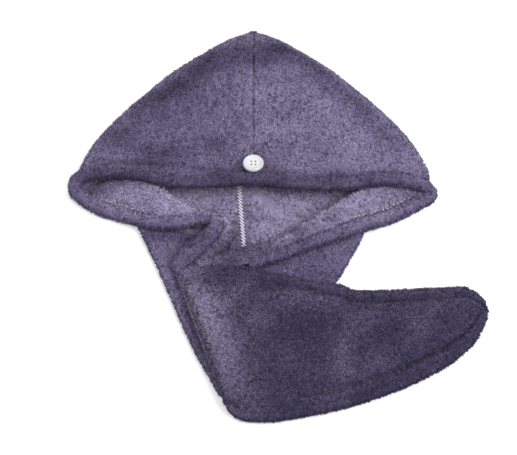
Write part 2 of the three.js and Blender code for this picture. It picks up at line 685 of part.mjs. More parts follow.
function elasticLoop() {
  const bend = (loopWidth - loopCord) / 2;
  const straight = loopLength - loopWidth;
  const arc = (x, start) =>
    Array.from({ length: bendSteps }, (_, k) => {
      const angle = start + (Math.PI * k) / (bendSteps - 1);
      return new THREE.Vector3(x + bend * Math.cos(angle), bend * Math.sin(angle), loopCord / 2);
    });
  const loop = new THREE.CatmullRomCurve3(
    [...arc(straight, -Math.PI / 2), ...arc(0, Math.PI / 2)],
    true,
    "centripetal",
  );
  const radius = loopCord / 2 / Math.cos(Math.PI / cordSides);
  const points = [];
  const triangles = [];
  for (let j = 0; j < loopSteps; j += 1) {
    const centre = loop.getPointAt(j / loopSteps);
    const forward = loop.getTangentAt(j / loopSteps);
    const side = new THREE.Vector3(-forward.y, forward.x, 0);
    for (let i = 0; i < cordSides; i += 1) {
      const angle = (2 * Math.PI * (i + 0.5)) / cordSides;
      const up = radius * Math.sin(angle);
      points.push(centre.clone().addScaledVector(side, radius * Math.cos(angle)).setZ(centre.z + up));
      const [a, b] = [j * cordSides + i, j * cordSides + ((i + 1) % cordSides)];
      const next = ((j + 1) % loopSteps) * cordSides;
      const [c, d] = [next + i, next + ((i + 1) % cordSides)];
      triangles.push([a, b, d], [a, d, c]);
    }
  }
  return closedGeometry(points, triangles);
}

const turban = new THREE.Group();
turban.add(named("hood_left_panel", geometryFrom(panels[0]), outsideFleece));
turban.add(named("hood_right_panel", geometryFrom(panels[1]), outsideFleece));
turban.add(named("left_lower_hem", geometryFrom(leftLowerHem), insideFleece));
turban.add(named("brim_hem", geometryFrom(brimHem), outsideFleece));
turban.add(named("right_lower_hem", geometryFrom(rightLowerHem), insideFleece));
turban.add(
  named("left_lapel", lapel([...leftHemRows].reverse(), leftLapelRows, 1), insideFleece),
);
turban.add(
  named("right_lapel", lapel([...rightHemRows, rightRidgeEnd], rightLapelRows, -1), insideFleece),
);
turban.add(named("centre_seam_overlock", overlock(), seamThread));
turban.add(named("tail_base", geometryFrom(tailBase), outsideFleece));
turban.add(named("tail_flap", geometryFrom(tailFlap), outsideFleece));

const buttonMesh = named("button", button(), buttonWhite);
const buttonBrim = brimAt(0);
const buttonSeat = Math.max(foldHeight + crownLoft, buttonBrim.z + hemThickness / 2);
buttonMesh.position.set(0, buttonBrim.y + buttonFromBrim, buttonSeat + clearance);
turban.add(buttonMesh);

const loopMesh = named("elastic_loop", elasticLoop(), elastic);
loopMesh.position.set(flapLeftX + flapLength - loopInset - loopWidth / 2, flapTopY - loopBelow, 0);
turban.add(loopMesh);

// The origin is the middle of the outline, on the surface that the towel lies on.
const outline = new THREE.Box3().setFromObject(turban);
const middle = outline.getCenter(new THREE.Vector3());
turban.position.set(-middle.x, -middle.y, -outline.min.z);

export default turban;
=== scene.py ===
"""A hair turban towel of purple grey fleece, laid flat with its tail folded over to the right."""
import math

import bmesh
import bpy
import numpy as np
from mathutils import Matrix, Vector, noise


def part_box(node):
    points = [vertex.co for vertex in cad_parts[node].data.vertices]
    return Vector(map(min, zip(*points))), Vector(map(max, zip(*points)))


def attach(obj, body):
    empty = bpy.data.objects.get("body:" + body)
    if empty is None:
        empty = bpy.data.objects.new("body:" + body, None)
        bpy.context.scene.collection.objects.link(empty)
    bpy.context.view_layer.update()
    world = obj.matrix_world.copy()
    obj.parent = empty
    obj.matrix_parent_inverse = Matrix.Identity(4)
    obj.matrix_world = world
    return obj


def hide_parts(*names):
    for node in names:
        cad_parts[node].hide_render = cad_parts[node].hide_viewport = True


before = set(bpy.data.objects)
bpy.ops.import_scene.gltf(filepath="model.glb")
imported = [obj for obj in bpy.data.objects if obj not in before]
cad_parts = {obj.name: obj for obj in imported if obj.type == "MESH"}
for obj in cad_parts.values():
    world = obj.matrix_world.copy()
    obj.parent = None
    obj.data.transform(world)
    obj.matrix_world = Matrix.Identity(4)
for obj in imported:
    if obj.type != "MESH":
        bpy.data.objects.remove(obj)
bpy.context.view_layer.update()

# Lengths are millimetres from the point of the table that lies under the seam, level with the brim,
# until a mesh is made: X to the right, Y towards the hood's point, Z up.
MM = 0.001
APEX_Y = 156.0
BUTTON_LOW, BUTTON_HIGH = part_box("button")
ORIGIN = np.array([(BUTTON_LOW[0] + BUTTON_HIGH[0]) / 2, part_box("hood_left_panel")[1][1] - APEX_Y * MM, 0.0])
BUTTON_Y = ((BUTTON_LOW[1] + BUTTON_HIGH[1]) / 2 - ORIGIN[1]) / MM

# Sizes of the cloth
WALL = 2.6
FOLD_HEIGHT = 10.0
HOOD_HALF_WIDTH = 143.0
HOOD_DEPTH = 141.0
MOUTH_Y = APEX_Y - HOOD_DEPTH
CROWN_LOFT = 15.5
BACK_DROP = 73.0
HEM_WIDTH = 11.0
HEM_THICKNESS = 8.0
HEM_DROP = 82.0
HEM_LIFT = 20.0
LAPEL_WIDTH = 32.0
LAPEL_LIFT = 19.0
TAIL_HALF_WIDTH = 90.0
TAIL_LENGTH = 146.0
TAIL_TOP_Y = -22.0
TAIL_HEIGHT = 7.0
FLAP_LEFT_X = -60.0
FLAP_TOP_Y = -63.5
FLAP_LENGTH = 236.0
FLAP_WIDTH = 126.0
FLAP_EDGE = 8.5
FLAP_PUFF = 12.0
FLAP_DRAPE = 16.0
LOOP_LIFT = 3.0

# The photograph's view
CAMERA_ELEVATION = math.radians(60)
CAMERA_DISTANCE = 1500.0
CAMERA_TARGET = (4.0, -24.0, 0.0)
PICTURE_WIDTH = 517
PIXEL = 0.77
SENSOR = 36.0

RANDOM = np.random.default_rng(7)


# Tables and curves


def table(columns, *rows):
    """A short table: a dictionary for each row, with its values under the named columns."""
    return [dict(zip(columns.split(), row)) for row in rows]


def follow(rows, column, at):
    """The smooth value of a table's column at one or many places along its column at."""
    xs = np.array([row["at"] for row in rows], float)
    ys = np.array([row[column] for row in rows], float)
    slopes = np.gradient(ys, xs)
    at = np.clip(at, xs[0], xs[-1])
    i = np.clip(np.searchsorted(xs, at) - 1, 0, len(xs) - 2)
    span = xs[i + 1] - xs[i]
    t = (at - xs[i]) / span
    return (
        (2 * t**3 - 3 * t**2 + 1) * ys[i]
        + (t**3 - 2 * t**2 + t) * span * slopes[i]
        + (3 * t**2 - 2 * t**3) * ys[i + 1]
        + (t**3 - t**2) * span * slopes[i + 1]
    )


def smooth_path(points, count):
    """Evenly spaced points on a smooth curve through the given ones."""
    points = np.array(points, float)
    chord = np.r_[0, np.cumsum(np.linalg.norm(np.diff(points, axis=0), axis=1) ** 0.5)]
    rows = [{"at": c, "x": p[0], "y": p[1], "z": p[2]} for c, p in zip(chord, points)]
    fine = np.linspace(0, chord[-1], 12 * count)
    line = np.stack([follow(rows, axis, fine) for axis in "xyz"], axis=1)
    length = np.r_[0, np.cumsum(np.linalg.norm(np.diff(line, axis=0), axis=1))]
    even = np.linspace(0, length[-1], count)
    return np.stack([np.interp(even, length, line[:, k]) for k in range(3)], axis=1)


def row_marks(points):
    """Share of the length at which each given point lies."""
    length = np.r_[0, np.cumsum(np.linalg.norm(np.diff(np.array(points, float), axis=0), axis=1))]
    return length / length[-1]


def bell(distance, half_width):
    return np.exp(-((distance / half_width) ** 2))


def ease(value, low, high):
    t = np.clip((value - low) / (high - low), 0, 1)
    return t * t * (3 - 2 * t)


def lumps(points, size, seed):
    """Smooth noise from -1 to 1 with lumps of that size, at each point."""
    shift = Vector((seed * 17.3, seed * 5.1, seed * 9.7))
    flat = points.reshape(-1, 3) / size
    values = [noise.noise(Vector(p) + shift) for p in flat.tolist()]
    return np.array(values).reshape(points.shape[:-1])


# Meshes


def grid_normals(grid, closed):
    across = np.roll(grid, -1, 1) - np.roll(grid, 1, 1) if closed else np.gradient(grid, axis=1)
    along = np.gradient(grid, axis=0)
    normals = np.cross(across, along)
    length = np.linalg.norm(normals, axis=2, keepdims=True)
    normals = normals / np.maximum(length, 1e-9)
    for row in (-1, 0):
        weak = length[row, :, 0] < 1e-4
        normals[row, weak] = normals[row - 1 if row else 1, weak]
    middle = normals[len(normals) // 3, : normals.shape[1] // 4]
    return normals * (-1 if middle[:, 2].mean() < 0 else 1)


def quads(rows, count, closed, start=0, turned=False):
    j, i = np.meshgrid(np.arange(rows - 1), np.arange(count if closed else count - 1), indexing="ij")
    after = (i + 1) % count
    low, high = j * count, (j + 1) * count
    faces = np.stack([low + i, low + after, high + after, high + i], axis=-1).reshape(-1, 4) + start
    return faces[:, ::-1] if turned else faces


def make_object(name, points, faces, materials, face_materials=None, smooth=True, tone=None):
    mesh = bpy.data.meshes.new(name)
    placed = np.asarray(points) * MM + ORIGIN
    mesh.from_pydata(placed.tolist(), [], [list(map(int, face)) for face in faces])
    for material in materials:
        mesh.materials.append(material)
    if face_materials is not None:
        mesh.polygons.foreach_set("material_index", np.asarray(face_materials, dtype=np.int32))
    mesh.polygons.foreach_set("use_smooth", np.full(len(mesh.polygons), smooth))
    if tone is not None:
        # The tone holds painted light and shade as well as the brushing of the pile
        nap_and_shade = mesh.attributes.new("nap_and_shade", "FLOAT", "POINT")
        nap_and_shade.data.foreach_set("value", np.asarray(tone, dtype=np.float32).ravel())
    mesh.update()
    if smooth:
        tidy = bmesh.new()
        tidy.from_mesh(mesh)
        bmesh.ops.remove_doubles(tidy, verts=tidy.verts, dist=1e-6)
        bmesh.ops.dissolve_degenerate(tidy, edges=tidy.edges, dist=1e-7)
        bmesh.ops.recalc_face_normals(tidy, faces=tidy.faces)
        tidy.to_mesh(mesh)
        tidy.free()
    piece = bpy.data.objects.new(name, mesh)
    bpy.context.scene.collection.objects.link(piece)
    return piece


def cloth(name, grid, closed, outer, inner, tones=(), wall=WALL, clumps=0.5):
    """A closed cloth wall under a grid of outer points, with its own material inside."""
    rows, count = grid.shape[:2]
    normals = grid_normals(grid, closed)
    skin = grid + normals * (clumps * lumps(grid, 6.0, 3))[..., None]
    under = grid - normals * wall
    points = np.concatenate([skin.reshape(-1, 3), under.reshape(-1, 3)])
    size = rows * count
    faces = [quads(rows, count, closed), quads(rows, count, closed, size, True)]
    kinds = [np.zeros(len(faces[0]), int), np.ones(len(faces[1]), int)]
    spans = np.arange(count if closed else count - 1)
    after = (spans + 1) % count
    for row, turned in ((0, False), (rows - 1, True)):
        base = row * count
        edge = np.stack([base + after, base + spans, size + base + spans, size + base + after], axis=1)
        faces.append(edge[:, ::-1] if turned else edge)
        kinds.append(np.zeros(len(edge), int))
    if not closed:
        steps = np.arange(rows - 1) * count
        for column, turned in ((0, False), (count - 1, True)):
            low, high = steps + column, steps + count + column
            edge = np.stack([low, high, size + high, size + low], axis=1)
            faces.append(edge[:, ::-1] if turned else edge)
            kinds.append(np.zeros(len(edge), int))
    # Painted shade in the colour: darker at the pile's roots, darker where the cloth turns from the light, and
    # the painted patches of the table
    tone = ROOT_SHADE_TONE * nap_and_shade_tone(points, tones) * np.tile(painted_facing_shade(np.abs(normals)).ravel(), 2)
    made = make_object(name, points, np.concatenate(faces), [outer, inner], np.concatenate(kinds), tone=tone)
    return made, skin, under, normals


# Pile

# Painted shade at the roots of the pile and on the cloth beneath, painted light at the tufts' tips
ROOT_SHADE_TONE = 0.5
TIP_LIGHT_TONE = 1.3
# Painted shade on sides that turn from the light, painted light on tops that face it
SHADED_SIDE_TONE = 0.45
LIT_TOP_TONE = 1.04
TONE_LOW = 0.22
TONE_HIGH = 3.0
LEAST_UP = -0.35
DRIFT_SIZE = 24
DRIFT_TONE = 0.2
BRUSHED_SIZE = 9
BRUSHED_TONE = 0.16
TUFT_SPREAD = 0.45
TUFT_SINK = 0.4
CLUMP = 3.2
CLUMP_LEAN = 0.6
# Clumps of pile: their size, the strength of the painted shade between them, and its cap
LOCK = 1.3
LOCK_SHADE_CONTRAST = 2.2
LOCK_TOP = 0.12


def upward(middle, up):
    return up[..., 2] > LEAST_UP


def painted_facing_shade(normals):
    """Painted shade: the pile's colour is darker where the cloth turns down from the light."""
    return SHADED_SIDE_TONE + (LIT_TOP_TONE - SHADED_SIDE_TONE) * ease(normals[..., 2], 0.1, 0.95)


def nap_and_shade_tone(points, tones):
    """Lighter and darker tone: drifts where the pile is brushed up or down, and the patches of a table, which
    paint light and shade as well as brushing.
    """
    flat = points * [1, 1, 0]
    tone = 1 + DRIFT_TONE * lumps(flat, DRIFT_SIZE, 11) + BRUSHED_TONE * lumps(flat, BRUSHED_SIZE, 12)
    for spot in tones:
        turn = math.radians(spot["turn"])
        dx, dy = points[..., 0] - spot["x"], points[..., 1] - spot["y"]
        along = dx * math.cos(turn) + dy * math.sin(turn)
        across = dy * math.cos(turn) - dx * math.sin(turn)
        tone = tone + spot["tone"] * np.exp(-((along / spot["long"]) ** 2) - (across / spot["wide"]) ** 2)
    return np.clip(tone, TONE_LOW, TONE_HIGH)


def cell_corners(grid, closed):
    """The four corners of every cell of a grid."""
    near = grid if closed else grid[:, :-1]
    far = np.roll(grid, -1, 1) if closed else grid[:, 1:]
    return near[:-1], far[:-1], far[1:], near[1:]


def tufts(
    name, skin, normals, closed, material, density, length, width, comb=(0, 0, 0), tones=(), seen=upward
):
    """Pile on a grid: small closed tufts that stand on the skin and lean with the comb."""
    feet, ups = cell_corners(skin, closed), cell_corners(normals, closed)
    area = np.linalg.norm(np.cross(feet[2] - feet[0], feet[3] - feet[1]), axis=-1) / 2
    area = area * seen((feet[0] + feet[2]) / 2, (ups[0] + ups[2]) / 2)
    share = np.cumsum(area.ravel())
    count = int(share[-1] * density)
    pick = np.searchsorted(share, RANDOM.random(count) * share[-1])
    u, v = RANDOM.random((2, count, 1))

    def picked(corners):
        a, b, c, d = (corner.reshape(-1, 3)[pick] for corner in corners)
        return a * (1 - u) * (1 - v) + b * u * (1 - v) + c * u * v + d * (1 - u) * v

    foot, normal = picked(feet), picked(ups)
    normal /= np.maximum(np.linalg.norm(normal, axis=1, keepdims=True), 1e-6)
    clump = np.stack([lumps(foot, CLUMP, seed) for seed in (21, 22, 23)], axis=1)
    lean = np.array(comb) + TUFT_SPREAD * RANDOM.normal(size=(count, 3)) + CLUMP_LEAN * clump
    stand = normal + lean
    stand /= np.linalg.norm(stand, axis=1, keepdims=True)
    side = np.cross(stand, RANDOM.normal(size=(count, 3)))
    side /= np.maximum(np.linalg.norm(side, axis=1, keepdims=True), 1e-6)
    other = np.cross(stand, side)
    radius = width * (0.7 + 0.6 * RANDOM.random((count, 1)))
    reach = length * (0.6 + 0.8 * RANDOM.random((count, 1))) * (1 + 0.2 * lumps(foot, 4.5, 24)[:, None])
    base = foot - normal * TUFT_SINK
    corners = [base + radius * (side * math.cos(t) + other * math.sin(t)) for t in (0, 2.094, 4.189)]
    points = np.stack([*corners, base + stand * (reach + TUFT_SINK)], axis=1)
    above = points[..., 2].min(axis=1) > 0
    points, foot, normal = points[above].reshape(-1, 3), foot[above], normal[above]
    count = len(foot)
    first = 4 * np.arange(count)[:, None, None]
    faces = (first + np.array([[0, 2, 1], [0, 1, 3], [1, 2, 3], [2, 0, 3]])).reshape(-1, 3)
    # Painted shade between clumps of pile and where the cloth turns from the light; each tuft's root is
    # painted darker and its tip lighter
    lock_shade = np.minimum(lumps(foot, LOCK, 25) + 0.5 * lumps(foot, 2 * LOCK, 26), LOCK_TOP)
    tone = nap_and_shade_tone(foot, tones) * painted_facing_shade(normal) * np.exp(LOCK_SHADE_CONTRAST * lock_shade)
    tone = tone * (0.85 + 0.3 * RANDOM.random(count))
    tone = (tone[:, None] * [ROOT_SHADE_TONE, ROOT_SHADE_TONE, ROOT_SHADE_TONE, TIP_LIGHT_TONE]).ravel()
    return make_tufts(name, points, faces, material, tone)


def make_tufts(name, points, faces, material, tone):
    mesh = bpy.data.meshes.new(name)
    mesh.vertices.add(len(points))
    mesh.vertices.foreach_set("co", (points * MM + ORIGIN).astype(np.float32).ravel())
    mesh.loops.add(faces.size)
    mesh.loops.foreach_set("vertex_index", faces.astype(np.int32).ravel())
    mesh.polygons.add(len(faces))
    mesh.polygons.foreach_set("loop_start", np.arange(0, faces.size, 3, dtype=np.int32))
    # The tone holds painted light and shade as well as the brushing of the pile
    nap_and_shade = mesh.attributes.new("nap_and_shade", "FLOAT", "POINT")
    nap_and_shade.data.foreach_set("value", tone.astype(np.float32))
    mesh.materials.append(material)
    mesh.update(calc_edges=True)
    mesh.validate()
    mesh.polygons.foreach_set("use_smooth", np.full(len(mesh.polygons), True))
    piece = bpy.data.objects.new(name, mesh)
    bpy.context.scene.collection.objects.link(piece)
    return piece


def folded_ring(upper, lower, steps):
    """Rings of a flattened tube: upper layer, right fold, lower layer, left fold."""
    outward = upper[:, -1] - upper[:, 0]
    outward[:, 2] = 0
    outward /= np.maximum(np.linalg.norm(outward, axis=1, keepdims=True), 1e-9)
    right = fold(upper[:, -1], lower[:, -1], outward, steps)
    left = fold(lower[:, 0], upper[:, 0], -outward, steps)
    return np.concatenate([upper, right, lower[:, ::-1], left], axis=1)


def fold(start, end, outward, steps):
    middle = (start + end) / 2
    half = start - middle
    bulge = np.abs(half[:, 2:3])
    angles = math.pi * np.arange(1, steps) / steps
    return np.stack([middle + half * math.cos(a) + outward * bulge * math.sin(a) for a in angles], axis=1)


END_ROUND = 5.0
SECTION_POWER = 0.85
FURROW_DEPTH = 0.3
FURROW_HALF = 0.22
FURROW_ANGLES = (1.1, 2.0)


def roll(name, points, width, thickness, materials, count=460, sides=20, ribs=None, clumps=0.5, tones=()):
    """A fat turned hem: a soft oval section swept along a path, with rounded ends."""
    line = smooth_path(points, count)
    t = np.linspace(0, 1, count)
    forward = np.gradient(line, axis=0)
    forward[:, 2] = 0
    forward /= np.linalg.norm(forward, axis=1, keepdims=True)
    side = np.stack([-forward[:, 1], forward[:, 0], np.zeros(count)], axis=1)
    length = np.linalg.norm(np.diff(line, axis=0), axis=1).sum()
    from_end = np.minimum(t, 1 - t) * length
    shut = np.sqrt(np.clip(1 - (1 - np.minimum(from_end / END_ROUND, 1)) ** 2, 0.01, 1))
    angles = 2 * math.pi * np.arange(sides) / sides
    wide = np.sign(np.cos(angles)) * np.abs(np.cos(angles)) ** SECTION_POWER
    high = np.sign(np.sin(angles)) * np.abs(np.sin(angles)) ** SECTION_POWER
    marks = row_marks(points)
    ribs = ribs or [0] * len(points)
    widths = np.interp(t, marks, width)[:, None] * shut[:, None] / 2
    heights = np.interp(t, marks, thickness)[:, None] * shut[:, None] / 2
    depths = np.interp(t, marks, ribs)[:, None]
    furrow = 1 - depths * sum(FURROW_DEPTH * bell(angles - a, FURROW_HALF) for a in FURROW_ANGLES)
    rings = line[:, None] + side[:, None] * (widths * wide * furrow)[..., None]
    rings[..., 2] += heights * high * furrow
    out = rings - line[:, None]
    out /= np.maximum(np.linalg.norm(out, axis=2, keepdims=True), 1e-6)
    rings = rings + out * (clumps * lumps(rings, 7.0, 3) * shut[:, None])[..., None]
    caps = [list(range(sides))[::-1], [(count - 1) * sides + i for i in range(sides)]]
    faces = [list(face) for face in quads(count, sides, True)] + caps
    points = rings.reshape(-1, 3)
    # Painted shade in the colour: darker at the pile's roots and where the roll turns from the light, with the
    # painted patches of the table
    tone = ROOT_SHADE_TONE * nap_and_shade_tone(points, tones) * painted_facing_shade(out).ravel()
    piece = make_object(name, points, faces, materials, tone=tone)
    return piece, rings, out


# Materials


TONE_RANGE = 4.0


def fleece(name, colour, light, grain=0.25, sheen=0.1):
    """Short fleece: its colour follows the tone attribute, which holds painted light and shade along with the
    brushing of the pile, up to the light one, with a fine grain, bump and sheen.
    """
    material = bpy.data.materials.new(name)
    material.use_nodes = True
    nodes, links = material.node_tree.nodes, material.node_tree.links
    shader = nodes["Principled BSDF"]
    shader.inputs["Roughness"].default_value = 0.95
    shader.inputs["Specular IOR Level"].default_value = 0.1
    shader.inputs["Sheen Weight"].default_value = sheen
    shader.inputs["Sheen Roughness"].default_value = 0.5
    shader.inputs["Sheen Tint"].default_value = (0.8, 0.77, 0.92, 1)
    place = nodes.new("ShaderNodeTexCoord")
    clumps = nodes.new("ShaderNodeTexNoise")
    clumps.inputs["Scale"].default_value = 520
    clumps.inputs["Detail"].default_value = 3
    links.new(place.outputs["Object"], clumps.inputs["Vector"])
    nap_and_shade = nodes.new("ShaderNodeAttribute")
    nap_and_shade.attribute_name = "nap_and_shade"
    spread = nodes.new("ShaderNodeMapRange")
    spread.inputs["From Min"].default_value = 0.3
    spread.inputs["From Max"].default_value = 0.7
    spread.inputs["To Min"].default_value = 1 - grain
    spread.inputs["To Max"].default_value = 1 + grain
    links.new(clumps.outputs["Fac"], spread.inputs["Value"])
    tone = nodes.new("ShaderNodeMath")
    tone.operation = "MULTIPLY"
    links.new(nap_and_shade.outputs["Fac"], tone.inputs[0])
    links.new(spread.outputs["Result"], tone.inputs[1])
    tint = nodes.new("ShaderNodeValToRGB")
    tint.color_ramp.elements[0].color = (0, 0, 0, 1)
    tint.color_ramp.elements[1].color = (*light, 1)
    middle = tint.color_ramp.elements.new(1 / TONE_RANGE)
    middle.color = (*colour, 1)
    shade = tint.color_ramp.elements.new(0.4 / TONE_RANGE)
    shade.color = (*[0.4 * c * f for c, f in zip(colour, (0.92, 0.88, 1.08))], 1)
    scaled = nodes.new("ShaderNodeMath")
    scaled.operation = "DIVIDE"
    scaled.inputs[1].default_value = TONE_RANGE
    links.new(tone.outputs[0], scaled.inputs[0])
    links.new(scaled.outputs[0], tint.inputs["Fac"])
    links.new(tint.outputs["Color"], shader.inputs["Base Color"])
    bump = nodes.new("ShaderNodeBump")
    bump.inputs["Strength"].default_value = 0.3
    bump.inputs["Distance"].default_value = 0.001
    links.new(clumps.outputs["Fac"], bump.inputs["Height"])
    links.new(bump.outputs["Normal"], shader.inputs["Normal"])
    return material


def plain(name, colour, roughness, sheen=0.0, coat=0.0):
    """Thread or resin, with faint uneven colour."""
    material = bpy.data.materials.new(name)
    material.use_nodes = True
    nodes, links = material.node_tree.nodes, material.node_tree.links
    shader = nodes["Principled BSDF"]
    shader.inputs["Roughness"].default_value = roughness
    shader.inputs["Sheen Weight"].default_value = sheen
    shader.inputs["Coat Weight"].default_value = coat
    grain = nodes.new("ShaderNodeTexNoise")
    grain.inputs["Scale"].default_value = 900
    ramp = nodes.new("ShaderNodeValToRGB")
    ramp.color_ramp.elements[0].color = (*[c * 0.92 for c in colour], 1)
    ramp.color_ramp.elements[1].color = (*colour, 1)
    links.new(grain.outputs["Fac"], ramp.inputs["Fac"])
    links.new(ramp.outputs["Color"], shader.inputs["Base Color"])
    return material


OUTSIDE = fleece("outside_fleece", (0.243, 0.214, 0.346), (0.95, 0.86, 1.0))
# A darker copy of the outside fleece: painted shade for the pile lying the other way on the tail
TAIL_SHADED = fleece("tail_shaded_fleece", (0.08, 0.069, 0.131), (0.44, 0.395, 0.56))
INSIDE = fleece("inside_fleece", (0.5, 0.462, 0.64), (0.95, 0.9, 1.0))
THREAD = plain("seam_thread", (0.86, 0.86, 0.9), 0.6, sheen=0.2)
RESIN = plain("button_resin", (0.6, 0.605, 0.63), 0.32, coat=0.2)
ELASTIC = plain("elastic_cover", (0.07, 0.06, 0.1), 0.8, sheen=0.3)


# Patches of painted light and shade in the fleece's colour, with lighter and darker brushing of the pile:
# painted shade in creases, under rolls and in the mouth's corners, painted highlight on lit folds. Place and
# half sizes in millimetres, turn in degrees

HOOD_TONES = table(
    "x y long wide turn tone",
    # Painted shade on the band that slopes away along the outline near the point
    (-60, 95, 42, 11, 31, -0.5),
    (-23, 124, 28, 11, 20, -0.42),
    (15, 126, 24, 9, 0, -0.45),
    (47, 112, 30, 9, -36, -0.45),
    (88, 72, 40, 9, -47, -0.35),
    (-72, 60, 48, 42, 20, -0.2),
    # Painted shade in the crease just above the brim's roll
    (-75, 19, 50, 3, -9, -0.35),
    (0, 12.5, 34, 3, -4, -0.35),
    (65, 9, 46, 3, 5, -0.35),
    (7, 84, 16, 14, 0, 0.2),
    (25, 50, 18, 16, 0, 0.2),
    (56, 66, 30, 18, -30, 0.22),
    (71, 30, 26, 14, 0, 0.2),
    (36, 14, 34, 7, 0, 0.15),
    (-14, 86, 10, 5, -50, -0.3),
    (-72, 27, 26, 10, 0, -0.28),
    (-100, 48, 14, 13, 0, -0.22),
    (-30, 35, 15, 15, 0, -0.25),
    (-66, 74, 32, 9, 30, -0.2),
    (-53, 47, 16, 9, 0, 0.12),
    (-88, 24, 26, 6, -20, 0.16),
    (110, 26, 20, 10, -20, 0.2),
)
HEM_TONES = table(
    "x y long wide turn tone",
    # Painted shade on the brim's roll
    (-45, 6, 70, 10, -4, -0.5),
    (60, 2, 75, 9, 0, -0.35),
    # Painted shadow in the mouth's dark corners at the noses
    (-118, 16, 26, 7, 0, -0.35),
    (112, 11, 24, 7, -8, -0.3),
    (-100, -12, 38, 9, -24, 0.3),
    (100, -16, 38, 9, 30, 0.25),
    # Painted highlight on the U-turn's top, and painted shade on the left ridge below it
    (-28, -31, 8, 8, 0, 0.2),
    (-41, -50, 18, 8, 50, -0.3),
    (30, -50, 44, 9, 25, -0.35),
)
LAPEL_TONES = table(
    "x y long wide turn tone",
    # Painted shadow in the mouth's corners at the noses
    (-122, 9, 14, 10, 0, -0.6),
    (-107, 12, 16, 7, -10, -0.4),
    (120, 6, 16, 9, 10, -0.5),
    (-79, -8, 22, 12, -20, 0.08),
    (-22, -47, 22, 9, 20, -0.55),
    (12, -46, 44, 10, 24, -0.5),
    (-27, -58, 20, 8, 15, -0.4),
)
INNER_TONES = table(
    "x y long wide turn tone",
    (13, -4, 26, 6, -45, 0.14),
    (8, -17, 10, 9, 0, -0.2),
    (-5, -12, 28, 3.5, 93, -0.25),
    # Painted shadow beside the U-turn
    (-19, -28, 16, 6, -75, -0.35),
    (-16, -46, 20, 16, 0, -0.5),
)
TAIL_TONES = table(
    "x y long wide turn tone",
    (-72, -58, 30, 16, -64, 0.02),
    (50, -66, 34, 20, 0, -0.3),
    (-42, -132, 40, 14, -64, -0.1),
    (-62, -36, 30, 8, 0, -0.25),
)
FLAP_TONES = table(
    "x y long wide turn tone",
    # Painted highlight along the flap's soft left fold
    (-36, -116, 66, 16, -67, 2.1),
    (-17, -98, 24, 7, 53, 0.5),
    (3, -117, 14, 8, -20, 0.5),
    (37, -98, 26, 7, -4, 0.45),
    (82, -113, 13, 9, 0, 0.5),
    (124, -119, 20, 8, 55, 0.5),
    (66, -144, 24, 8, 84, 0.55),
    (86, -151, 16, 8, 28, 0.3),
    (-40, -82, 14, 7, 0, -0.45),
    (-14, -120, 14, 6, 60, -0.15),
    (11, -87, 14, 6, 0, -0.2),
    (48, -123, 24, 12, 0, -0.3),
    (100, -125, 14, 12, 0, -0.3),
    (142, -114, 18, 12, 0, -0.25),
)


# Hood

HOOD_OUTLINE = table(
    "at out",
    (0.0, 0.958),
    (0.05, 0.952),
    (0.1, 0.935),
    (0.27, 0.85),
    (0.42, 0.735),
    (0.6, 0.565),
    (0.73, 0.435),
    (0.84, 0.3),
    (0.92, 0.19),
    (0.965, 0.1),
    (1.0, 0.012),
)
HOOD_ACROSS = table(
    "at rise",
    (0.0, 1.0),
    (0.2, 0.99),
    (0.4, 0.96),
    (0.58, 0.88),
    (0.74, 0.7),
    (0.87, 0.42),
    (0.95, 0.18),
    (1.0, 0.0),
)
HOOD_ALONG = table(
    "at loft",
    (0.0, 0.7),
    (0.025, 0.8),
    (0.055, 0.94),
    (0.1, 0.98),
    (0.18, 0.95),
    (0.35, 0.96),
    (0.55, 0.98),
    (0.7, 0.98),
    (0.8, 0.92),
    (0.88, 0.7),
    (0.94, 0.4),
    (1.0, 0.0),
)
BACK_SEAM = table(
    "at aside",
    (-71.0, -6.0),
    (-42.0, -7.5),
    (11.0, -11.0),
    (80.0, -6.0),
    (146.0, 0.0),
    (156.0, 0.0),
)
FOLD_X = 12.0
FOLD_Y = -6.0
FOLD_TURN = math.radians(45)
FOLD_LIFT = 3.0
CREASE_Y = 114.0
CREASE_DEPTH = 4.5
CREASE_ABOVE = 4.0
CREASE_BELOW = 13.0
CREASE_SWELL = 1.8
HOOD_ROWS = 84
HOOD_FRONT = 70
HOOD_BACK = 34


def crease(x, y):
    """The fold under the point: steep above, soft below, deepest left of the seam."""
    line = CREASE_Y - 0.06 * np.maximum(np.abs(x) - 12, 0) ** 1.6
    above = y - line
    depth = CREASE_DEPTH * ease(x, -52, -26) * (1 - 0.75 * ease(x, 4, 26)) * (1 - ease(x, 50, 90))
    valley = np.where(above > 0, bell(above, CREASE_ABOVE), bell(above, CREASE_BELOW))
    return CREASE_SWELL * bell(above - 13, 10) * bell(x, 60) - depth * valley


def front_height(x, y, share, along):
    loft = CROWN_LOFT * follow(HOOD_ACROSS, "rise", share) * follow(HOOD_ALONG, "loft", along)
    fold_height = FOLD_HEIGHT - 3 * ease(along, 0.6, 1.0)
    place = np.stack([x, y, np.zeros_like(x)], axis=-1)
    inside = 1 - ease(share, 0.7, 1.0)
    dents = 1.1 * lumps(place, 48, 4) + 0.5 * lumps(place, 19, 5)
    seam = -1.6 * bell(x, 1.4) - 0.7 * bell(x, 6)
    return fold_height + loft + inside * (dents + seam) + crease(x, y) * (1 - ease(share, 0.75, 1.0))


def seam_x(y):
    """How far the back's seam lies to the side."""
    return follow(BACK_SEAM, "aside", y)


def front_edge(x):
    return brim_y(x) + 3.5


def back_edge(x):
    aside = np.minimum(np.abs(x) / (HOOD_HALF_WIDTH * 0.94), 1)
    return MOUTH_Y - BACK_DROP * (1 - aside) ** 0.8


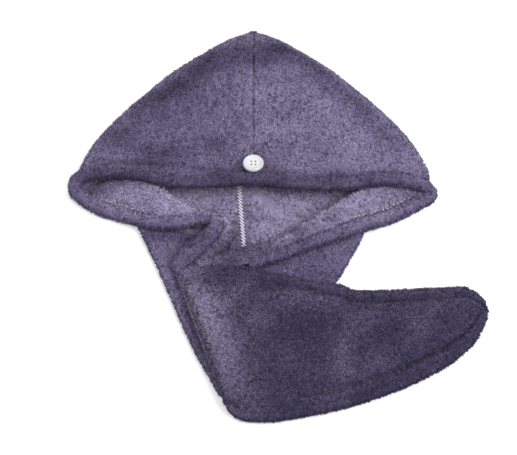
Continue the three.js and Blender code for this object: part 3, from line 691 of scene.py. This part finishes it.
def hood_panel(name, side):
    """Half of the hood: front layer from the seam, round the outline fold, and back to the back's seam."""
    along = np.linspace(0, 1, HOOD_ROWS)[:, None]
    half = follow(HOOD_OUTLINE, "out", along) * HOOD_HALF_WIDTH
    inset = np.minimum(FOLD_HEIGHT / 2, half * 0.8)
    edge_y = MOUTH_Y + along * HOOD_DEPTH

    def layer(count, start_y, end_gap):
        share = np.linspace(0, 1, count)[None, :]
        x = side * np.maximum(share * (half - inset), end_gap * (1 - share))
        y = start_y(x) + (APEX_Y - start_y(x)) * along
        y = y + (edge_y - y) * share**10
        return share * np.ones_like(x), x, y

    share, x, y = layer(HOOD_FRONT, front_edge, 0.25)
    front = np.stack([x, y, front_height(x, y, share, along * np.ones_like(x))], axis=-1)
    share, x, y = layer(HOOD_BACK, back_edge, 0.2)
    x = x + seam_x(y) * (1 - share)
    slope_away = (x - FOLD_X) * math.sin(FOLD_TURN) + (y - FOLD_Y) * math.cos(FOLD_TURN)
    swell = FOLD_LIFT * bell(slope_away, 7) * bell(np.hypot(x - FOLD_X, y - FOLD_Y), 34)
    back = np.stack([x, y, 0.3 + swell], axis=-1)
    outward = np.zeros((HOOD_ROWS, 3))
    outward[:, 0] = side
    turn = fold(front[:, -1], back[:, -1], outward, 12)
    grid = np.concatenate([front, turn, back[:, ::-1]], axis=1)
    return cloth(name, grid, False, OUTSIDE, INSIDE, HOOD_TONES)


# Hem round the mouth, and lapels

# From the ridge under the flap's corner, round its U-turn, along the lower left, over the brim and back
# along the lower right: out is a share of HOOD_HALF_WIDTH, drop of HEM_DROP and rise of HEM_LIFT.
MOUTH_HEM = table(
    "out drop rise width thick rib",
    (-0.406, 0.854, 0.315, 1.0, 0.95, 0.3),
    (-0.373, 0.766, 0.515, 1.1, 1.05, 0.5),
    (-0.338, 0.707, 0.615, 1.15, 1.1, 0.6),
    (-0.292, 0.626, 0.655, 1.15, 1.1, 0.6),
    (-0.246, 0.544, 0.68, 1.1, 1.1, 0.5),
    (-0.206, 0.463, 0.705, 1.0, 1.1, 0.3),
    (-0.191, 0.39, 0.73, 0.9, 1.1, 0.1),
    (-0.201, 0.333, 0.73, 0.85, 1.1, 0.0),
    (-0.232, 0.305, 0.705, 0.9, 1.1, 0.0),
    (-0.28, 0.312, 0.65, 1.0, 1.05, 0.0),
    (-0.336, 0.333, 0.61, 1.0, 1.0, 0.1),
    (-0.399, 0.345, 0.56, 1.0, 1.0, 0.1),
    (-0.476, 0.341, 0.49, 1.0, 1.0, 0.1),
    (-0.552, 0.313, 0.38, 1.05, 1.0, 0.0),
    (-0.629, 0.244, 0.15, 1.1, 0.9, 0.0),
    (-0.706, 0.187, 0.035, 1.1, 0.9, 0.0),
    (-0.783, 0.139, 0.005, 1.1, 0.9, 0.0),
    (-0.86, 0.079, 0.0, 1.05, 0.95, 0.0),
    (-0.923, 0.004, 0.02, 1.0, 1.0, 0.0),
    (-0.958, -0.063, 0.07, 1.0, 1.05, 0.0),
    (-0.962, -0.134, 0.16, 1.0, 1.05, 0.0),
    (-0.93, -0.19, 0.28, 1.0, 1.0, 0.0),
    (-0.885, -0.21, 0.39, 1.0, 1.0, 0.0),
    (-0.811, -0.207, 0.54, 1.0, 1.0, 0.0),
    (-0.727, -0.191, 0.69, 1.0, 1.0, 0.0),
    (-0.605, -0.146, 0.84, 0.95, 0.95, 0.0),
    (-0.473, -0.066, 0.93, 0.85, 0.9, 0.0),
    (-0.329, -0.032, 0.965, 0.85, 0.95, 0.0),
    (-0.173, -0.048, 0.99, 0.95, 1.0, 0.0),
    (-0.007, -0.061, 1.005, 0.95, 1.0, 0.0),
    (0.143, -0.033, 1.005, 0.95, 1.0, 0.0),
    (0.266, -0.016, 0.99, 0.9, 0.95, 0.0),
    (0.416, 0.0, 0.97, 0.85, 0.9, 0.0),
    (0.549, -0.034, 0.93, 0.9, 0.9, 0.0),
    (0.687, -0.09, 0.82, 1.0, 0.95, 0.0),
    (0.79, -0.105, 0.66, 1.05, 1.0, 0.0),
    (0.881, -0.1, 0.44, 1.0, 1.0, 0.0),
    (0.934, -0.083, 0.265, 0.9, 1.0, 0.0),
    (0.962, -0.037, 0.11, 0.8, 1.0, 0.0),
    (0.941, 0.02, 0.03, 0.9, 0.95, 0.0),
    (0.885, 0.061, 0.005, 1.0, 0.9, 0.0),
    (0.824, 0.122, 0.005, 1.1, 0.9, 0.0),
    (0.747, 0.195, 0.02, 1.1, 0.9, 0.0),
    (0.668, 0.256, 0.1, 1.1, 0.95, 0.0),
    (0.593, 0.317, 0.25, 1.1, 1.0, 0.0),
    (0.49, 0.415, 0.39, 1.0, 1.0, 0.1),
    (0.399, 0.482, 0.44, 0.9, 0.95, 0.1),
    (0.308, 0.549, 0.46, 0.85, 0.95, 0.1),
    (0.23, 0.61, 0.47, 0.85, 0.95, 0.1),
    (0.13, 0.687, 0.465, 0.85, 0.95, 0.1),
    (0.03, 0.75, 0.45, 0.8, 0.9, 0.1),
    (-0.02, 0.778, 0.42, 0.7, 0.8, 0.0),
)
LEFT_NOSE_ROW = 19
BRIM_ROWS = slice(21, 38)
RIGHT_NOSE_ROW = 38
RIGHT_END = table(
    "out drop rise",
    (-0.16, 0.84, 0.38),
    (-0.26, 0.9, 0.3),
)

# Lapels from the nose to the end of the hem: at is a share of the way, reach of LAPEL_WIDTH inwards
# from the hem, and rise of LAPEL_LIFT over the table.
LEFT_LAPEL = table(
    "at reach rise",
    (0.0, 0.3, 0.42),
    (0.05, 0.5, 0.46),
    (0.09, 0.64, 0.52),
    (0.17, 0.78, 0.65),
    (0.24, 0.92, 0.74),
    (0.305, 0.95, 0.83),
    (0.35, 0.92, 0.93),
    (0.41, 0.85, 0.97),
    (0.475, 0.72, 0.98),
    (0.54, 0.5, 1.0),
    (0.575, 0.33, 1.0),
    (0.61, 0.21, 1.0),
    (0.65, 0.2, 1.02),
    (0.7, 0.24, 0.98),
    (0.735, 0.36, 0.9),
    (0.77, 0.5, 0.8),
    (0.83, 0.56, 0.72),
    (0.9, 0.6, 0.68),
)
RIGHT_LAPEL = table(
    "at reach rise",
    (0.0, 0.3, 0.42),
    (0.055, 0.42, 0.48),
    (0.095, 0.54, 0.56),
    (0.15, 0.7, 0.7),
    (0.23, 0.8, 0.82),
    (0.28, 0.76, 0.92),
    (0.335, 0.71, 0.98),
    (0.4, 0.68, 1.0),
    (0.48, 0.58, 1.0),
    (0.55, 0.48, 1.0),
    (0.61, 0.4, 1.0),
    (0.68, 0.39, 1.0),
    (0.75, 0.4, 1.0),
    (0.82, 0.41, 0.98),
    (0.92, 0.42, 0.92),
    (1.0, 0.36, 0.84),
)
CREST_RADIUS = 3.4
LAPEL_ROWS = 110
LAPEL_FACE = 22
LAPEL_SAMPLES = 900


def hem_path(rows):
    base = HEM_THICKNESS / 2
    return [(r["out"] * HOOD_HALF_WIDTH, -r["drop"] * HEM_DROP, base + r["rise"] * HEM_LIFT) for r in rows]


def brim_y(x):
    rows = [{"at": r["out"], "y": -r["drop"] * HEM_DROP} for r in MOUTH_HEM[BRIM_ROWS]]
    return follow(rows, "y", x / HOOD_HALF_WIDTH)


def mouth_hem():
    return roll(
        "mouth_hem_roll",
        hem_path(MOUTH_HEM),
        [r["width"] * HEM_WIDTH for r in MOUTH_HEM],
        [r["thick"] * HEM_THICKNESS for r in MOUTH_HEM],
        [OUTSIDE],
        ribs=[r["rib"] for r in MOUTH_HEM],
        tones=HEM_TONES,
    )


def lapel(name, hem, rows, inward):
    """The cloth from the hem to its crest, inside up, rolled over the crest and back under."""
    low = smooth_path(hem_path(hem), LAPEL_SAMPLES)
    along = np.linspace(rows[0]["at"], rows[-1]["at"], LAPEL_ROWS)
    forward = np.gradient(low, axis=0)
    forward[:, 2] = 0
    forward /= np.linalg.norm(forward, axis=1, keepdims=True)
    side = inward * np.stack([-forward[:, 1], forward[:, 0], np.zeros(len(low))], axis=1)
    pick = (along * (len(low) - 1)).astype(int)
    low, side = low[pick], side[pick]
    reach = np.maximum(follow(rows, "reach", along) * LAPEL_WIDTH - CREST_RADIUS, 1.5)
    top = np.maximum(follow(rows, "rise", along) * LAPEL_LIFT, 2 * CREST_RADIUS + 0.5)
    share = np.linspace(0, 1, LAPEL_FACE)[None, :]
    start = HEM_WIDTH * 0.2
    away = start + (reach[:, None] - start) * share
    face = low[:, None] + side[:, None] * away[..., None]
    foot = low[:, 2:3] - 0.5
    face[..., 2] = foot + (top[:, None] - foot) * np.sin(share * math.pi / 2) ** 1.4
    waves = lumps(face * [1, 1, 0], 20, 6) * np.sin(share * math.pi)
    face[..., 2] += waves * ease(reach, 4, 14)[:, None]
    angles = math.pi * np.arange(1, 11) / 10
    over = [side * CREST_RADIUS * math.sin(a) - [0, 0, CREST_RADIUS * (1 - math.cos(a))] for a in angles]
    turn = np.stack([face[:, -1] + step for step in over], axis=1)
    tuck = turn[:, -1:] - side[:, None] * (np.minimum(reach, 8.0)[:, None] * [0.5, 1.0])[..., None]
    grid = np.concatenate([face, turn, tuck], axis=1)
    return cloth(name, grid, False, INSIDE, OUTSIDE, LAPEL_TONES)


# Tail

TAIL_OUTLINE = table(
    "at left right",
    (0.0, 1.0, 0.98),
    (0.12, 0.91, 0.9),
    (0.25, 0.82, 0.79),
    (0.4, 0.72, 0.66),
    (0.55, 0.62, 0.54),
    (0.7, 0.52, 0.4),
    (0.85, 0.4, 0.26),
    (1.0, 0.27, 0.12),
)
FLAP_EDGES = table(
    "at top_x top_y low_x low_y puff",
    (0.0, 0.0, 0.015, 0.165, 0.9, 0.55),
    (0.06, 0.06, 0.0, 0.195, 0.965, 0.8),
    (0.16, 0.16, 0.005, 0.265, 1.0, 0.95),
    (0.27, 0.27, 0.035, 0.36, 0.985, 1.0),
    (0.39, 0.39, 0.095, 0.47, 0.945, 0.95),
    (0.51, 0.51, 0.14, 0.58, 0.89, 1.0),
    (0.63, 0.63, 0.16, 0.69, 0.82, 0.9),
    (0.75, 0.75, 0.155, 0.79, 0.73, 0.8),
    (0.86, 0.86, 0.145, 0.88, 0.625, 0.65),
    (0.94, 0.94, 0.15, 0.95, 0.495, 0.45),
    (1.0, 0.992, 0.225, 0.995, 0.335, 0.1),
)
FLAP_ACROSS = table(
    "at rise",
    (0.0, 0.0),
    (0.04, 0.12),
    (0.1, 0.2),
    (0.2, 0.62),
    (0.34, 0.92),
    (0.5, 1.0),
    (0.66, 0.88),
    (0.8, 0.6),
    (0.9, 0.24),
    (0.96, 0.12),
    (1.0, 0.0),
)
RIM_WIDTH = 8.0
RIM_DEPTH = 2.4
LEFT_FOLD = 9.0
TAIL_ROWS = 72
FLAP_ROWS = 130


def tail_base():
    """The lower length of the tail: a flattened tube that lies on the table."""
    down = np.linspace(0, 1, TAIL_ROWS)[:, None]
    left = -follow(TAIL_OUTLINE, "left", down) * TAIL_HALF_WIDTH + TAIL_HEIGHT / 2
    right = follow(TAIL_OUTLINE, "right", down) * TAIL_HALF_WIDTH - TAIL_HEIGHT / 2
    end_y = TAIL_TOP_Y - TAIL_LENGTH
    notch_y = MOUTH_Y - BACK_DROP - 0.4

    def layer(count, tuck):
        share = np.linspace(0, 1, count)[None, :]
        x = left + (right - left) * share
        start = TAIL_TOP_Y + (notch_y + tuck - TAIL_TOP_Y) * (1 - np.abs(2 * share - 1)) ** 0.9
        return np.stack([x, start + (end_y - start) * down, np.zeros_like(x)], axis=-1)

    upper = layer(70, 12)
    upper[..., 2] = TAIL_HEIGHT + 0.5 * lumps(upper, 30, 8)
    lower = layer(30, 0)
    grid = folded_ring(upper, lower, 8)
    return cloth("tail_base_cloth", grid, True, OUTSIDE, INSIDE, TAIL_TONES, clumps=0.3)


def support(x, y):
    """Height of what lies under the flap: the tail's base, then the table, then the loop under the tip."""
    down = (TAIL_TOP_Y - y) / TAIL_LENGTH
    right = follow(TAIL_OUTLINE, "right", down) * TAIL_HALF_WIDTH
    aside = np.maximum(x - right - FLAP_DRAPE * 0.5, 0) / FLAP_DRAPE
    below = np.maximum(TAIL_TOP_Y - TAIL_LENGTH - y - FLAP_DRAPE / 4, 0) / (FLAP_DRAPE * 0.8)
    on_base = (TAIL_HEIGHT + 0.6) * (1 - ease(np.hypot(aside, below), 0, 1))
    on_loop = LOOP_LIFT * ease(x, FLAP_LEFT_X + 0.5 * FLAP_LENGTH, FLAP_LEFT_X + 0.75 * FLAP_LENGTH)
    return np.maximum(on_base, on_loop)


def tail_flap():
    """The end of the tail: a flattened leaf with a rim where its two edges are seamed."""
    along = np.linspace(0, 1, FLAP_ROWS)[:, None]

    def edge(name):
        x = FLAP_LEFT_X + follow(FLAP_EDGES, name + "_x", along) * FLAP_LENGTH
        return np.stack([x, FLAP_TOP_Y - follow(FLAP_EDGES, name + "_y", along) * FLAP_WIDTH], axis=-1)

    top, low = edge("top"), edge("low")
    span = np.linalg.norm(low - top, axis=-1)
    left_end = np.clip(along * FLAP_LENGTH / LEFT_FOLD, 0, 1)
    curl = np.sqrt(np.clip(1 - (1 - left_end) ** 2, 0.12, 1))
    tip = np.sqrt(np.clip(1 - ease(along, 0.955, 1.0) ** 2, 0.2, 1))
    inset = FLAP_EDGE / 2 * curl * tip / span

    def layer(count):
        share = np.linspace(0, 1, count)[None, :]
        t = inset + (1 - 2 * inset) * share
        plan = top + (low - top) * t[..., None]
        return share * np.ones_like(t), plan[..., 0], plan[..., 1]

    share, x, y = layer(80)
    across = np.minimum(share, 1 - share) * span
    rim = 0.8 * bell(across - 3.5, 3.2) - bell(across - RIM_WIDTH - 1, 1.9)
    rim = RIM_DEPTH * rim * ease(along, 0.1, 0.55)
    puff = FLAP_PUFF * follow(FLAP_ACROSS, "rise", share) * follow(FLAP_EDGES, "puff", along)
    place = np.stack([x, y, np.zeros_like(x)], axis=-1)
    dents = (1.9 * lumps(place, 42, 9) + 0.9 * lumps(place, 18, 10)) * ease(across, 4, 22)
    height = (FLAP_EDGE + puff + dents) * curl * tip + rim
    upper = np.stack([x, y, support(x, y) + height], axis=-1)
    _, x, y = layer(36)
    lower = np.stack([x, y, support(x, y) + 0.3], axis=-1)
    grid = folded_ring(upper, lower, 10)
    return cloth("tail_flap_cloth", grid, True, TAIL_SHADED, INSIDE, FLAP_TONES)


# Seam threads, button and loop


def tubes(name, paths, radius, material, sides=6):
    """Short threads: one closed tube along each path, joined in one mesh."""
    points, faces = [], []
    for path in paths:
        path = np.array(path, float)
        forward = np.gradient(path, axis=0)
        forward /= np.linalg.norm(forward, axis=1, keepdims=True)
        side = np.cross(forward, [0.0, 0.0, 1.0])
        side /= np.maximum(np.linalg.norm(side, axis=1, keepdims=True), 1e-6)
        up = np.cross(side, forward)
        taper = np.sin(np.linspace(0.25, math.pi - 0.25, len(path))) ** 0.4 * radius
        start = len(points)
        for centre, s, u, r in zip(path, side, up, taper):
            for k in range(sides):
                angle = 2 * math.pi * k / sides
                points.append(centre + r * (s * math.cos(angle) + u * math.sin(angle)))
        faces += [list(face) for face in quads(len(path), sides, True, start)]
        end = start + (len(path) - 1) * sides
        faces += [list(range(start, start + sides))[::-1], list(range(end, end + sides))]
    return make_object(name, points, faces, [material])


OVERLOCK_PITCH = 2.9
OVERLOCK_HALF = 2.1
OVERLOCK_LOW_Y = -44.0
OVERLOCK_HIGH_Y = 60.0
OVERLOCK_THREAD = 0.55


def overlock():
    """The ridge of the back's inner seam, and its white thread in slanted turns over it."""
    core = [(seam_x(y), y, WALL + 1.2) for y in np.linspace(OVERLOCK_LOW_Y, OVERLOCK_HIGH_Y, 14)]
    ridge, _, _ = roll("overlock_ridge", core, [3.6] * 14, [2.2] * 14, [INSIDE], sides=14, clumps=0.15)
    turns = []
    for y in np.arange(OVERLOCK_LOW_Y, OVERLOCK_HIGH_Y, OVERLOCK_PITCH):
        t = np.linspace(-1, 1, 9)
        x = seam_x(y) + OVERLOCK_HALF * t
        z = WALL + 1.1 + 1.5 * np.sqrt(np.maximum(1 - 0.92 * t**2, 0))
        turns.append(np.stack([x, y - 1.2 * t - 0.5 * np.sin(2.5 * t), z], axis=1))
    thread = tubes("overlock_thread", turns, OVERLOCK_THREAD, THREAD)
    return ridge, thread


STITCH_LENGTH = 1.0
STITCH_RADIUS = 0.3
STITCH_SAMPLES = 600


def hem_stitches(name, rows, start, stop, count, inward):
    """A broken row of short white stitches beside the turned hem, half sunk in the pile."""
    line = smooth_path(hem_path(rows), STITCH_SAMPLES)
    last = STITCH_SAMPLES - 1
    picks = np.linspace(start * last, stop * last, count).astype(int)
    paths = []
    for k in picks:
        forward = line[k + 1] - line[k]
        forward[2] = 0
        forward /= np.linalg.norm(forward)
        side = np.array([-forward[1], forward[0], 0]) * inward
        usual = [HEM_WIDTH * 0.5, HEM_THICKNESS * 0.36 + 1.0, STITCH_LENGTH / 2]
        aside, lift, half = RANDOM.normal(size=3) * [0.3, 0.25, 0.1] + usual
        middle = line[k] + side * aside + [0, 0, lift]
        slant = forward + 0.35 * side
        paths.append([middle + slant * half * t + [0, 0, 0.35 * (1 - t * t)] for t in (-1, -0.4, 0.4, 1)])
    return tubes(name, paths, STITCH_RADIUS, THREAD)


BUTTON_HOLE = 0.85
BUTTON_PITCH = 3.2
BUTTON_TILT = math.radians(-9)
BUTTON_SINK = 0.2
BUTTON_SEGMENTS = 72
DRILL_SEGMENTS = 24
DRILL_DEPTH = 14
BUTTON_PROFILE = table(
    "radius height",
    (0.0, 0.0),
    (6.4, 0.0),
    (7.5, 0.6),
    (8.0, 1.6),
    (7.95, 2.7),
    (7.6, 3.5),
    (7.1, 3.85),
    (6.5, 3.75),
    (6.0, 3.3),
    (5.4, 2.95),
    (4.2, 2.75),
    (2.4, 2.65),
    (0.0, 2.65),
)


def button():
    """A turned resin button: rounded rim, dished middle and four holes."""
    mesh = bmesh.new()
    rings = []
    angles = [2 * math.pi * k / BUTTON_SEGMENTS for k in range(BUTTON_SEGMENTS)]
    for row in BUTTON_PROFILE:
        r, z = row["radius"], row["height"]
        if r == 0:
            rings.append([mesh.verts.new((0, 0, z))])
        else:
            rings.append([mesh.verts.new((r * math.cos(a), r * math.sin(a), z)) for a in angles])
    for lower, upper in zip(rings, rings[1:]):
        for k in range(BUTTON_SEGMENTS):
            after = (k + 1) % BUTTON_SEGMENTS
            corners = [lower[k % len(lower)], lower[after % len(lower)]]
            corners += [upper[after % len(upper)], upper[k % len(upper)]]
            mesh.faces.new(list(dict.fromkeys(corners)))
    bmesh.ops.recalc_face_normals(mesh, faces=mesh.faces)
    data = bpy.data.meshes.new("button_disc")
    mesh.to_mesh(data)
    mesh.free()
    disc = bpy.data.objects.new("button_disc", data)
    bpy.context.scene.collection.objects.link(disc)
    drills = bmesh.new()
    for sx in (-1, 1):
        for sy in (-1, 1):
            made = bmesh.ops.create_cone(
                drills, cap_ends=True, segments=DRILL_SEGMENTS, radius1=BUTTON_HOLE,
                radius2=BUTTON_HOLE, depth=DRILL_DEPTH
            )
            place = Vector((sx * BUTTON_PITCH / 2, sy * BUTTON_PITCH / 2, 0))
            bmesh.ops.translate(drills, verts=made["verts"], vec=place)
    drill_data = bpy.data.meshes.new("button_drills")
    drills.to_mesh(drill_data)
    drills.free()
    drill = bpy.data.objects.new("button_drills", drill_data)
    bpy.context.scene.collection.objects.link(drill)
    cut = disc.modifiers.new("holes", "BOOLEAN")
    cut.object = drill
    cut.operation = "DIFFERENCE"
    cut.solver = "EXACT"
    evaluated = disc.evaluated_get(bpy.context.evaluated_depsgraph_get())
    shaped = bpy.data.meshes.new_from_object(evaluated)
    points = np.array([v.co[:] for v in shaped.vertices])
    faces = [list(p.vertices) for p in shaped.polygons]
    bpy.data.objects.remove(disc)
    bpy.data.objects.remove(drill)
    turn = np.array([
        [1, 0, 0],
        [0, math.cos(BUTTON_TILT), -math.sin(BUTTON_TILT)],
        [0, math.sin(BUTTON_TILT), math.cos(BUTTON_TILT)],
    ])
    placed = points @ turn.T + [0, BUTTON_Y, BUTTON_LOW[2] / MM + BUTTON_SINK]
    piece = make_object("button_turned", placed, faces, [RESIN])
    piece.data.set_sharp_from_angle(angle=math.radians(40))
    return piece


LOOP_POINTS = 96
LOOP_SIDES = 14
LOOP_RIB = 0.05


def elastic_loop():
    low, high = (np.array(corner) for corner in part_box("elastic_loop"))
    cord = (high[2] - low[2]) / MM / 2
    centre = ((low + high) / 2 - ORIGIN) / MM
    reach = (high[0] - low[0]) / MM / 2 - cord
    bend = (high[1] - low[1]) / MM / 2 - cord
    angles = np.linspace(0, 2 * math.pi, LOOP_POINTS + 1)[:-1]
    arc = np.stack([np.cos(angles) * bend, np.sin(angles) * bend, np.zeros(LOOP_POINTS)], axis=1)
    arc[:, 0] += np.sign(np.cos(angles)) * (reach - bend)
    line = arc + centre
    forward = np.roll(line, -1, 0) - np.roll(line, 1, 0)
    forward /= np.linalg.norm(forward, axis=1, keepdims=True)
    side = np.stack([-forward[:, 1], forward[:, 0], np.zeros(LOOP_POINTS)], axis=1)
    ring = 2 * math.pi * np.arange(LOOP_SIDES) / LOOP_SIDES
    rib = 1 - LOOP_RIB * (np.arange(LOOP_POINTS) % 2)[:, None, None]
    points = line[:, None] + side[:, None] * (np.cos(ring) * cord)[None, :, None] * rib
    points[..., 2] += (np.sin(ring) * cord)[None, :] * rib[..., 0]
    wrapped = np.concatenate([points, points[:1]])
    faces = quads(LOOP_POINTS + 1, LOOP_SIDES, True)
    return make_object("elastic_loop_cord", wrapped.reshape(-1, 3), faces, [ELASTIC])


# Camera, floor and light


def camera():
    data = bpy.data.cameras.new("camera")
    data.sensor_width = SENSOR
    data.lens = CAMERA_DISTANCE / PIXEL / PICTURE_WIDTH * SENSOR
    data.clip_end = 10
    view = bpy.data.objects.new("camera", data)
    target = np.array(CAMERA_TARGET) * MM + ORIGIN
    away = np.array([0, -math.cos(CAMERA_ELEVATION), math.sin(CAMERA_ELEVATION)])
    view.location = target + away * CAMERA_DISTANCE * MM
    view.rotation_euler = (math.pi / 2 - CAMERA_ELEVATION, 0, 0)
    bpy.context.scene.collection.objects.link(view)
    bpy.context.scene.camera = view


FLOOR_HALF = 3.0
FLOOR_Z = -0.0005


def floor():
    mesh = bpy.data.meshes.new("floor")
    corners = [(FLOOR_HALF * x, FLOOR_HALF * y, 0) for x, y in ((-1, -1), (1, -1), (1, 1), (-1, 1))]
    mesh.from_pydata(corners, [], [(0, 1, 2, 3)])
    material = bpy.data.materials.new("floor")
    material.use_nodes = True
    shader = material.node_tree.nodes["Principled BSDF"]
    shader.inputs["Base Color"].default_value = (0.86, 0.86, 0.87, 1)
    shader.inputs["Roughness"].default_value = 0.9
    shader.inputs["Emission Color"].default_value = (1, 1, 1, 1)
    shader.inputs["Emission Strength"].default_value = 0.3
    mesh.materials.append(material)
    plane = bpy.data.objects.new("floor", mesh)
    plane.location.z = FLOOR_Z
    bpy.context.scene.collection.objects.link(plane)


def area_light(name, place, size, power):
    data = bpy.data.lights.new(name, "AREA")
    data.size = size
    data.energy = power
    lamp = bpy.data.objects.new(name, data)
    lamp.location = place
    lamp.rotation_euler = (-Vector(place)).to_track_quat("-Z", "Y").to_euler()
    bpy.context.scene.collection.objects.link(lamp)


def lights():
    area_light("key", (0.9, -0.6, 1.5), 0.9, 26)
    area_light("fill", (-1.1, -0.4, 1.4), 1.4, 9)
    area_light("back", (0.1, 1.3, 1.2), 1.2, 8)
    world = bpy.data.worlds.new("studio")
    world.use_nodes = True
    world.node_tree.nodes["Background"].inputs["Color"].default_value = (1, 1, 1, 1)
    world.node_tree.nodes["Background"].inputs["Strength"].default_value = 0.55
    bpy.context.scene.world = world
    bpy.context.scene.view_settings.view_transform = "Standard"


def place(piece, slot, *nodes):
    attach(piece, "root")
    if nodes:
        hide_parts(*nodes)


camera()
floor()
lights()

# Pieces and their pile

PILE = 1.75
SHORT = {"length": 1.5, "width": 0.46}
LONG = {"length": 2.5, "width": 0.42}


def cover(name, made, closed, slot, nodes, material, **pile):
    """Place a cloth piece and the pile on its skin."""
    piece, skin, normals = made[0], made[1], made[-1]
    place(piece, slot, *nodes)
    place(tufts(name + "_pile", skin, normals, closed, material, PILE, **pile), slot)


def off_table(middle, up):
    return upward(middle, up) & (middle[..., 2] > 1)


def in_mouth(middle, up):
    """The part of the hood's inside that the open mouth shows."""
    low = middle[..., 2] < 5
    return low & (up[..., 2] > 0.5) & (middle[..., 1] < 32)


for side, name in ((-1, "left"), (1, "right")):
    made = hood_panel("hood_" + name + "_cloth", side)
    cover("hood_" + name, made, False, "outside_fleece", ["hood_" + name + "_panel"], OUTSIDE,
          seen=off_table, tones=HOOD_TONES, **SHORT)
    _, _, under, normals = made
    inner = tufts("hood_" + name + "_inner_pile", under, -normals, False, INSIDE, PILE, **LONG,
                  comb=(0.1, -0.7, 0), tones=INNER_TONES, seen=in_mouth)
    place(inner, "inside_fleece")

left_side = MOUTH_HEM[LEFT_NOSE_ROW::-1]
right_side = MOUTH_HEM[RIGHT_NOSE_ROW:]
cover("mouth_hem", mouth_hem(), True, "outside_fleece", ["brim_hem", "left_lower_hem", "right_lower_hem"],
      OUTSIDE, tones=HEM_TONES, **SHORT)
cover("left_lapel", lapel("left_lapel_cloth", left_side, LEFT_LAPEL, 1), False,
      "inside_fleece", ["left_lapel"], INSIDE, comb=(0.7, -0.7, 0), tones=LAPEL_TONES, **LONG)
cover("right_lapel", lapel("right_lapel_cloth", right_side + RIGHT_END, RIGHT_LAPEL, -1), False,
      "inside_fleece", ["right_lapel"], INSIDE, comb=(-0.7, -0.7, 0), tones=LAPEL_TONES, **LONG)
cover("tail_base", tail_base(), True, "outside_fleece", ["tail_base"], OUTSIDE, tones=TAIL_TONES, **SHORT)
cover("tail_flap", tail_flap(), True, "outside_fleece", ["tail_flap"], TAIL_SHADED, tones=FLAP_TONES, **SHORT)
seam_ridge, seam_thread = overlock()
place(seam_ridge, "seam_thread", "centre_seam_overlock")
place(seam_thread, "seam_thread")
place(hem_stitches("left_stitches", left_side, 0.15, 0.33, 8, 1), "seam_thread")
place(hem_stitches("right_stitches", right_side, 0.12, 0.42, 15, -1), "seam_thread")
place(button(), "button_white", "button")
place(elastic_loop(), "elastic", "elastic_loop")
